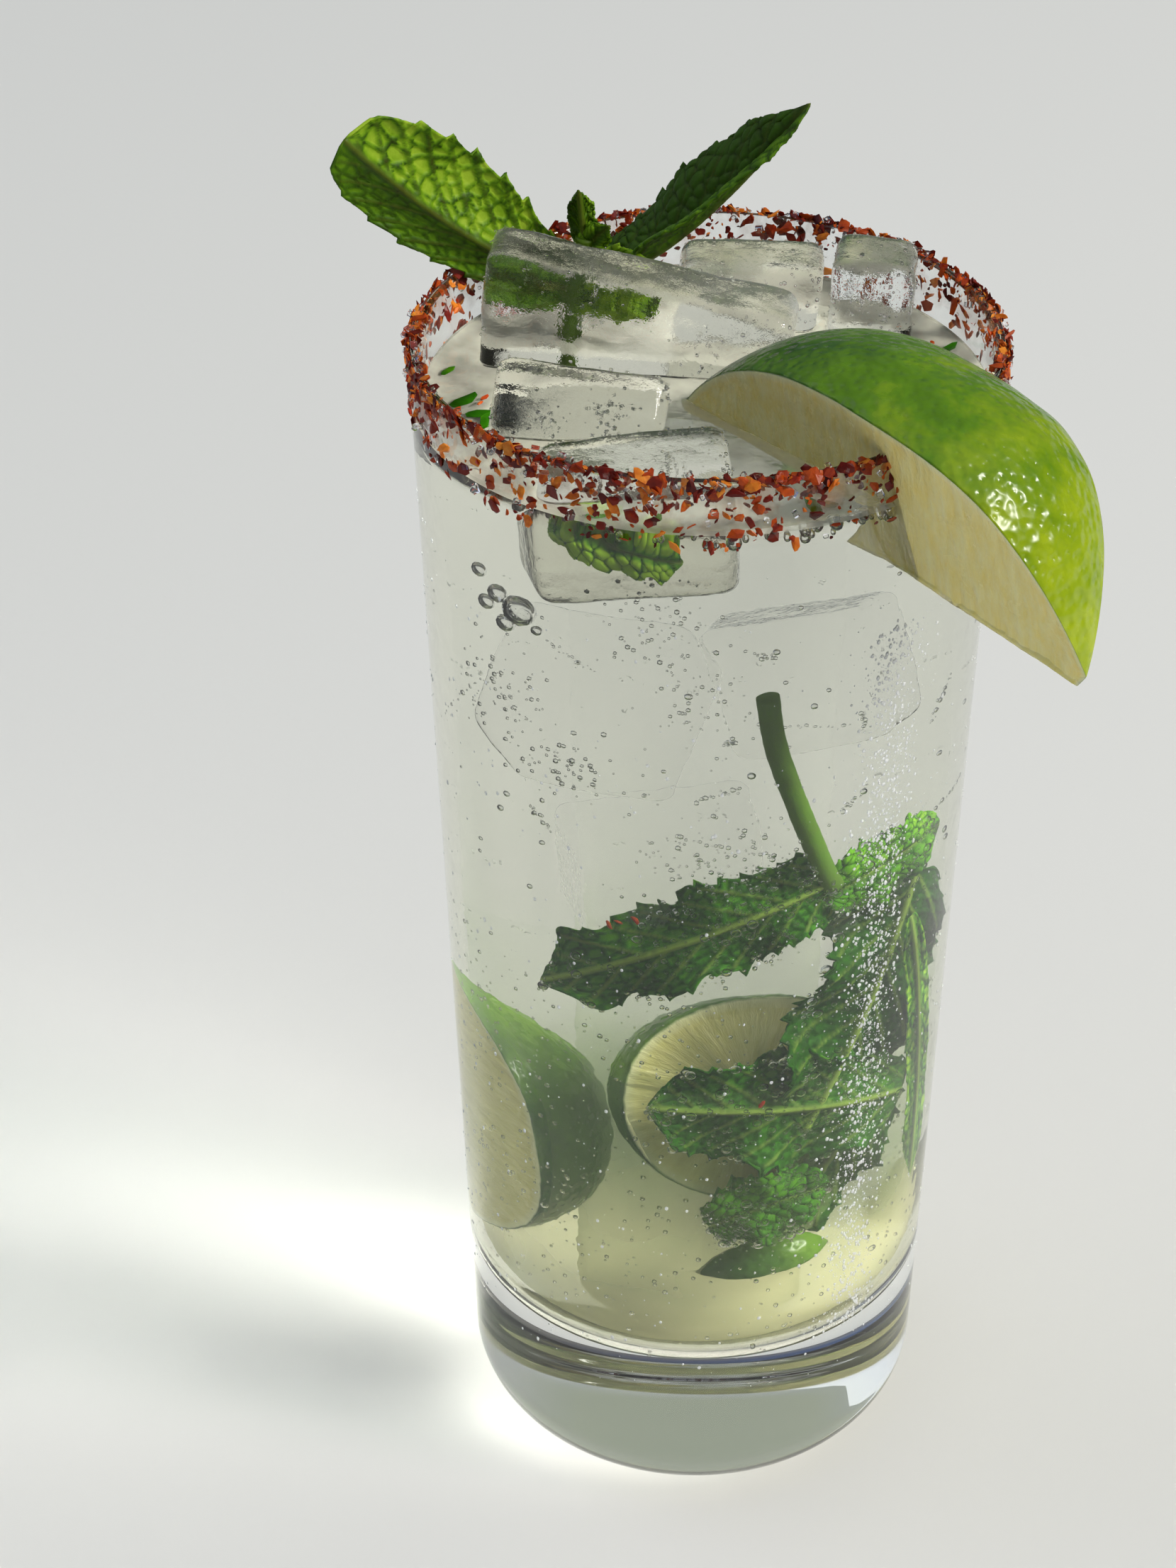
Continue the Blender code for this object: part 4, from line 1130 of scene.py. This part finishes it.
def make_fine_bubbles(rng, look):
    """Fine gas in loose clouds, in strings, on the leaves and over the lower wall."""
    clouds = []
    for centre, spread, count in BUBBLE_CLOUDS:
        clouds.append(np.array(centre) + rng.normal(size=(count, 3)) * spread)
    for string in range(BUBBLE_STRINGS):
        angle, z = rng.uniform(-2.9, -0.2), rng.uniform(0.085, 0.128)
        radius = rng.uniform(0.016, 0.026)
        start = np.array((radius * math.cos(angle), radius * math.sin(angle), z))
        line = np.linspace(0.0, 1.0, STRING_BUBBLES)[:, None] * rng.normal(size=3) * (0.006, 0.002, 0.005)
        clouds.append(start + line + rng.normal(size=line.shape) * 0.00015)
    for leaf in LEAVES_WITH_BUBBLES:
        flat = leaf_places(leaf)
        chosen = flat[rng.randint(0, len(flat), FINE_A_LEAF)]
        clouds.append(chosen + np.array((0.0, -FINE_OFF_LEAF, 0.0)) + rng.normal(size=chosen.shape) * 0.0002)
    angle = rng.uniform(-3.1, 0.0, FLOOR_BUBBLES)
    high = 0.024 + 0.055 * rng.uniform(0.0, 1.0, FLOOR_BUBBLES)
    radius = inner_radius(high) - rng.uniform(0.0006, 0.004, FLOOR_BUBBLES)
    clouds.append(np.stack([radius * np.cos(angle), radius * np.sin(angle), high], 1))
    places = np.concatenate(clouds)
    keep_inside(places, inner_radius(places[:, 2]) - 0.0006)
    sizes = 0.00011 + 0.00026 * rng.uniform(0.0, 1.0, len(places)) ** 2.5
    place_many("bubbles_fine", *ball(), np.eye(3)[None] * sizes[:, None, None], places, look, "drink",
               faint=True)


def make_dew():
    """Fine dew on the outer wall, thick in a streak at the right where drops have run. The drops are
    half clear and half white, a painted sparkle for the light they catch."""
    rng = np.random.RandomState(21)
    streak = rng.uniform(size=DEW_DROPS) < STREAK_SHARE
    azimuth = np.where(streak, STREAK_AZIMUTH + rng.normal(0.0, 0.075, DEW_DROPS),
                       rng.uniform(0.0, math.tau, DEW_DROPS))
    z = np.where(streak, rng.uniform(0.026, 0.128, DEW_DROPS), rng.uniform(0.020, 0.132, DEW_DROPS))
    radius = outer_radius(z)
    normals = np.stack([np.cos(azimuth), np.sin(azimuth), np.zeros(DEW_DROPS)], 1)
    places = normals * radius[:, None] + np.stack([0.0 * z, 0.0 * z, z], 1)
    size = 0.00006 + 0.00021 * rng.uniform(0.0, 1.0, DEW_DROPS) ** 3
    sizes = np.stack([size, size * rng.uniform(1.0, 1.5, DEW_DROPS), size * 0.45], 1)
    # Painted highlight: the drops' diffuse white stands for the glint of light on them.
    look = plain_material("dew", (0.95, 0.96, 0.96), 0.08, IOR=1.33, Transmission_Weight=0.55)
    place_many("dew", *ball(), frames_along(normals, np.zeros(DEW_DROPS), sizes), places, look, "glass",
               faint=True)


# Rim crust.

def rim_places(rng, count, out_share, lip_share):
    """Places and normals on the rim's outside, lip and inside, densest at the top, bare where the
    lime sits."""
    azimuth = rng.uniform(0.0, math.tau, count)
    kind = rng.uniform(0.0, 1.0, count)
    clumps = 0.5 + 0.5 * np.sin(azimuth * 7.0 + 1.0) * np.sin(azimuth * 3.0 + 0.5)
    down = CRUST_HANG * rng.uniform(0.01, 1.0, count) ** (3.7 - 1.7 * clumps)
    outside, lip = kind < out_share, (kind >= out_share) & (kind < out_share + lip_share)
    z = np.where(outside, GLASS_HEIGHT - down, GLASS_HEIGHT - 0.0035 * rng.uniform(0.0, 1.0, count))
    z = np.where(lip, GLASS_HEIGHT, z)
    radius = np.where(outside, outer_radius(z), inner_radius(z))
    radius = np.where(lip, RIM_RADIUS - 0.5 * LIP_THICKNESS + rng.uniform(-0.0003, 0.0003, count), radius)
    facing = np.where(outside, 1.0, np.where(lip, 0.0, -1.0))
    around = np.stack([np.cos(azimuth), np.sin(azimuth)], 1)
    places = np.concatenate([around * radius[:, None], z[:, None]], 1)
    normals = np.concatenate([around * facing[:, None], np.where(lip, 1.0, 0.0)[:, None]], 1)
    off = np.abs((azimuth - LIME_SEAT + math.pi) % math.tau - math.pi)
    kept = (off > BARE_HALF) | ((facing > 0.5) & (off > BARE_HALF_OUTSIDE))
    return places[kept], normals[kept]


def juice_material():
    """Chili juice dried on the glass: a thin brown film in patches that thin out downwards."""
    material, tree = new_tree("chili_juice")
    place = object_place(tree)
    height = add(tree, "ShaderNodeSeparateXYZ", {0: place}).outputs["Z"]
    fade = add(tree, "ShaderNodeMapRange", {"Value": height, "From Min": GLASS_HEIGHT - CRUST_HANG,
                                            "From Max": GLASS_HEIGHT - 0.0010, "To Min": 0.0, "To Max": 1.0})
    patches = calc(tree, "SUBTRACT", noise(tree, place, 210.0, 5.0, 0.65), 0.42)
    cover = calc(tree, "MULTIPLY", calc(tree, "MULTIPLY", patches, 3.2, True), fade.outputs[0])
    film = add(tree, "ShaderNodeBsdfPrincipled", {"Base Color": (0.50, 0.17, 0.03, 1.0), "Roughness": 0.3})
    finish_film(tree, calc(tree, "MULTIPLY", cover, 0.38), film)
    return material


def make_rim(look):
    rng = np.random.RandomState(4)
    make_chili(rng, look)
    make_juice()
    make_salt(rng)


def make_chili(rng, look):
    """Flat uneven flakes that lean on the rim."""
    form, faces = ball()
    places, normals = rim_places(rng, CHILI_FLAKES, 0.74, 0.09)
    count = len(places)
    length = 0.00026 + 0.00088 * rng.uniform(0.0, 1.0, count) ** 2.2
    width, thickness = rng.uniform(0.40, 0.85, count), rng.uniform(0.10, 0.28, count)
    sizes = np.stack([length, length * width, length * thickness], 1)
    uneven = rng.uniform(0.5, 1.35, (count, len(form), 1))
    lift = unit(normals) * (0.6 * sizes[:, 2:])
    tilted = normals + rng.normal(0.0, 0.34, normals.shape)
    frames = frames_along(tilted, rng.uniform(0.0, ABOUT_A_TURN, count), sizes)
    tone = np.repeat(rng.uniform(0.0, 1.0, count) ** 1.1, len(form))
    place_many("rim_chili", form * uneven, faces, frames, places + lift, look, "chili", {"tone": tone},
               smooth=False)


def make_juice():
    """The film of juice, a thin ring that reaches just into the outer wall."""
    z = np.linspace(GLASS_HEIGHT - CRUST_HANG, GLASS_HEIGHT - 0.0004, 24)
    profile = np.concatenate([np.stack([outer_radius(z) + 0.00006, z], 1),
                              np.stack([outer_radius(z[::-1]) - 0.00010, z[::-1]], 1)])
    profile = np.concatenate([profile, profile[:1]])
    ring = turned(profile, TURNED_STEPS)
    mesh = array_mesh("rim_juice", ring, grid_faces(len(profile), TURNED_STEPS, wrap=True))
    weld(mesh)
    place_piece("rim_juice", mesh, [juice_material()], "chili", faint=True)


def make_salt(rng):
    """Clear grains of salt, each a small uneven box."""
    places, normals = rim_places(rng, SALT_GRAINS, 0.62, 0.25)
    count = len(places)
    cube = np.array([[x, y, z] for x in (-1, 1) for y in (-1, 1) for z in (-1, 1)], float)
    faces = np.array([[0, 1, 3, 2], [4, 6, 7, 5], [0, 4, 5, 1], [2, 3, 7, 6], [0, 2, 6, 4], [1, 5, 7, 3]])
    size = rng.uniform(0.00014, 0.00034, (count, 1)) * rng.uniform(0.7, 1.3, (count, 3))
    tilted = normals + rng.normal(0.0, 0.5, normals.shape)
    frames = frames_along(tilted, rng.uniform(0, ABOUT_A_TURN, count), size)
    place_many("rim_salt", cube, faces, frames, places + unit(normals) * 0.0003,
               bubble_material("salt_grain", 1.54), "glass", smooth=False)


# Stage.

def make_floor():
    mesh = bpy.data.meshes.new("floor")
    corners = [(x * FLOOR_HALF, y * FLOOR_HALF, -STAND_GAP) for x, y in ((-1, -1), (1, -1), (1, 1), (-1, 1))]
    mesh.from_pydata(corners, [], [(0, 1, 2, 3)])
    mesh.materials.append(plain_material("floor", (0.80, 0.79, 0.765), 0.6))
    floor = bpy.data.objects.new("floor", mesh)
    bpy.context.scene.collection.objects.link(floor)


def make_camera():
    camera = bpy.data.cameras.new("camera")
    camera.lens, camera.sensor_width, camera.sensor_fit = CAMERA_LENS, 36.0, "AUTO"
    camera.clip_start, camera.clip_end = 0.01, 50.0
    viewer = bpy.data.objects.new("camera", camera)
    turn = Matrix.Rotation(CAMERA_TILT, 4, "X") @ Matrix.Rotation(CAMERA_ROLL, 4, "Z")
    viewer.matrix_world = Matrix.Translation(CAMERA_PLACE) @ turn
    bpy.context.scene.collection.objects.link(viewer)
    bpy.context.scene.camera = viewer


def make_lamps():
    for name, azimuth, elevation, distance, size, energy, colour in LAMPS:
        lamp = bpy.data.lights.new(name, "AREA")
        lamp.shape, lamp.size, lamp.energy, lamp.color = "DISK", size, energy, colour
        a, e = math.radians(azimuth), math.radians(elevation)
        place = Vector((math.cos(a) * math.cos(e), math.sin(a) * math.cos(e), math.sin(e))) * distance
        aim = (LAMP_AIM - place).to_track_quat("-Z", "Y").to_matrix().to_4x4()
        lamp_object = bpy.data.objects.new(name, lamp)
        lamp_object.matrix_world = Matrix.Translation(place) @ aim
        bpy.context.scene.collection.objects.link(lamp_object)


def make_world():
    """A studio that is blue at the left and grey at the right, pale overhead and dark near the
    horizon, with a soft grey-green patch high up behind the glass."""
    world = bpy.data.worlds.new("studio")
    world.use_nodes = True
    bpy.context.scene.world = world
    tree = world.node_tree
    tree.nodes.clear()
    way = add(tree, "ShaderNodeSeparateXYZ", {0: add(tree, "ShaderNodeTexCoord").outputs["Generated"]})
    rise = calc(tree, "ADD", calc(tree, "MULTIPLY", way.outputs["Z"], 0.5), 0.5)
    left = calc(tree, "SUBTRACT", 0.5, calc(tree, "MULTIPLY", way.outputs["X"], 0.9), True)
    blue = ramp(tree, rise, (
        (0.0, (0.50, 0.50, 0.50)), (0.498, (0.20, 0.20, 0.22)), (0.56, (0.05, 0.12, 0.34)),
        (0.70, (0.14, 0.24, 0.50)), (0.82, (0.46, 0.52, 0.60)), (1.0, (0.80, 0.86, 0.94))))
    grey = ramp(tree, rise, (
        (0.0, (0.50, 0.50, 0.50)), (0.498, (0.20, 0.19, 0.18)), (0.60, (0.16, 0.155, 0.145)),
        (0.72, (0.34, 0.36, 0.31)), (0.84, (0.54, 0.57, 0.56)), (1.0, (0.80, 0.86, 0.94))))
    behind = calc(tree, "MULTIPLY", calc(tree, "SUBTRACT", way.outputs["Y"], 0.30), 3.0, True)
    above = calc(tree, "MULTIPLY", calc(tree, "SUBTRACT", way.outputs["Z"], 0.28), 5.0, True)
    around = blend_colours(tree, left, grey, blue)
    sky = blend_colours(tree, calc(tree, "MULTIPLY", behind, above), around, (0.46, 0.51, 0.40))
    back = add(tree, "ShaderNodeBackground", {"Color": sky, "Strength": 0.64})
    add(tree, "ShaderNodeOutputWorld", {"Surface": back.outputs[0]})


def set_view():
    """Plain colours, and enough light paths for glass in glass."""
    view = bpy.context.scene.view_settings
    view.view_transform, view.look = "Standard", "None"
    cycles = bpy.context.scene.cycles
    cycles.max_bounces, cycles.transmission_bounces, cycles.transparent_max_bounces = 11, 11, 14
    cycles.diffuse_bounces, cycles.glossy_bounces = 2, 3


def main():
    cut_lime, blade = cut_lime_group(), blade_group()
    # The rinds' bright colours are painted light at the lit end of each fruit.
    lime_look = lime_material("lime", cut_lime,
                              ((0.012, 0.060, 0.0), (0.085, 0.20, 0.0), (0.36, 0.45, 0.004)),
                              ((0.93, 0.74, 0.20), (0.96, 0.86, 0.38)), 0.25)
    sunk_lime_look = lime_material("sunk_lime", cut_lime,
                                   ((0.010, 0.055, 0.002), (0.035, 0.12, 0.004), (0.16, 0.32, 0.01)),
                                   ((0.66, 0.62, 0.20), (0.84, 0.79, 0.34)), 0.0)
    # The mint ramps run from painted shade in the grooves to painted light on the quilting.
    mint_look = leaf_material("mint", blade, ((0.0, (0.030, 0.055, 0.0)), (0.28, (0.075, 0.190, 0.002)),
                                              (0.60, (0.230, 0.440, 0.008)), (1.0, (0.46, 0.66, 0.04))),
                              (0.40, 0.46, 0.05), 0.25, 0.30, 0.25)
    sunk_mint_look = leaf_material("sunk_mint", blade, (
        (0.0, (0.006, 0.040, 0.0)), (0.35, (0.022, 0.130, 0.001)), (0.7, (0.100, 0.310, 0.004)),
        (1.0, (0.32, 0.55, 0.03))), (0.40, 0.58, 0.10), 0.6, 0.12, 0.05)
    chili_look = flake_material("chili_flakes", (
        (0.0, (0.085, 0.002, 0.0)), (0.35, (0.27, 0.012, 0.0)), (0.7, (0.62, 0.090, 0.002)),
        (1.0, (0.90, 0.33, 0.03))), 0.35)
    make_glass()
    make_drink()
    make_veils()
    make_sunk(sunk_lime_look, sunk_mint_look)
    make_sunk_ice()
    make_flecks(sunk_mint_look, chili_look)
    make_bubbles()
    make_dew()
    make_ice()
    make_lime(lime_look)
    make_mint(mint_look)
    make_rim(chili_look)
    make_floor()
    make_camera()
    make_lamps()
    make_world()
    set_view()


main()
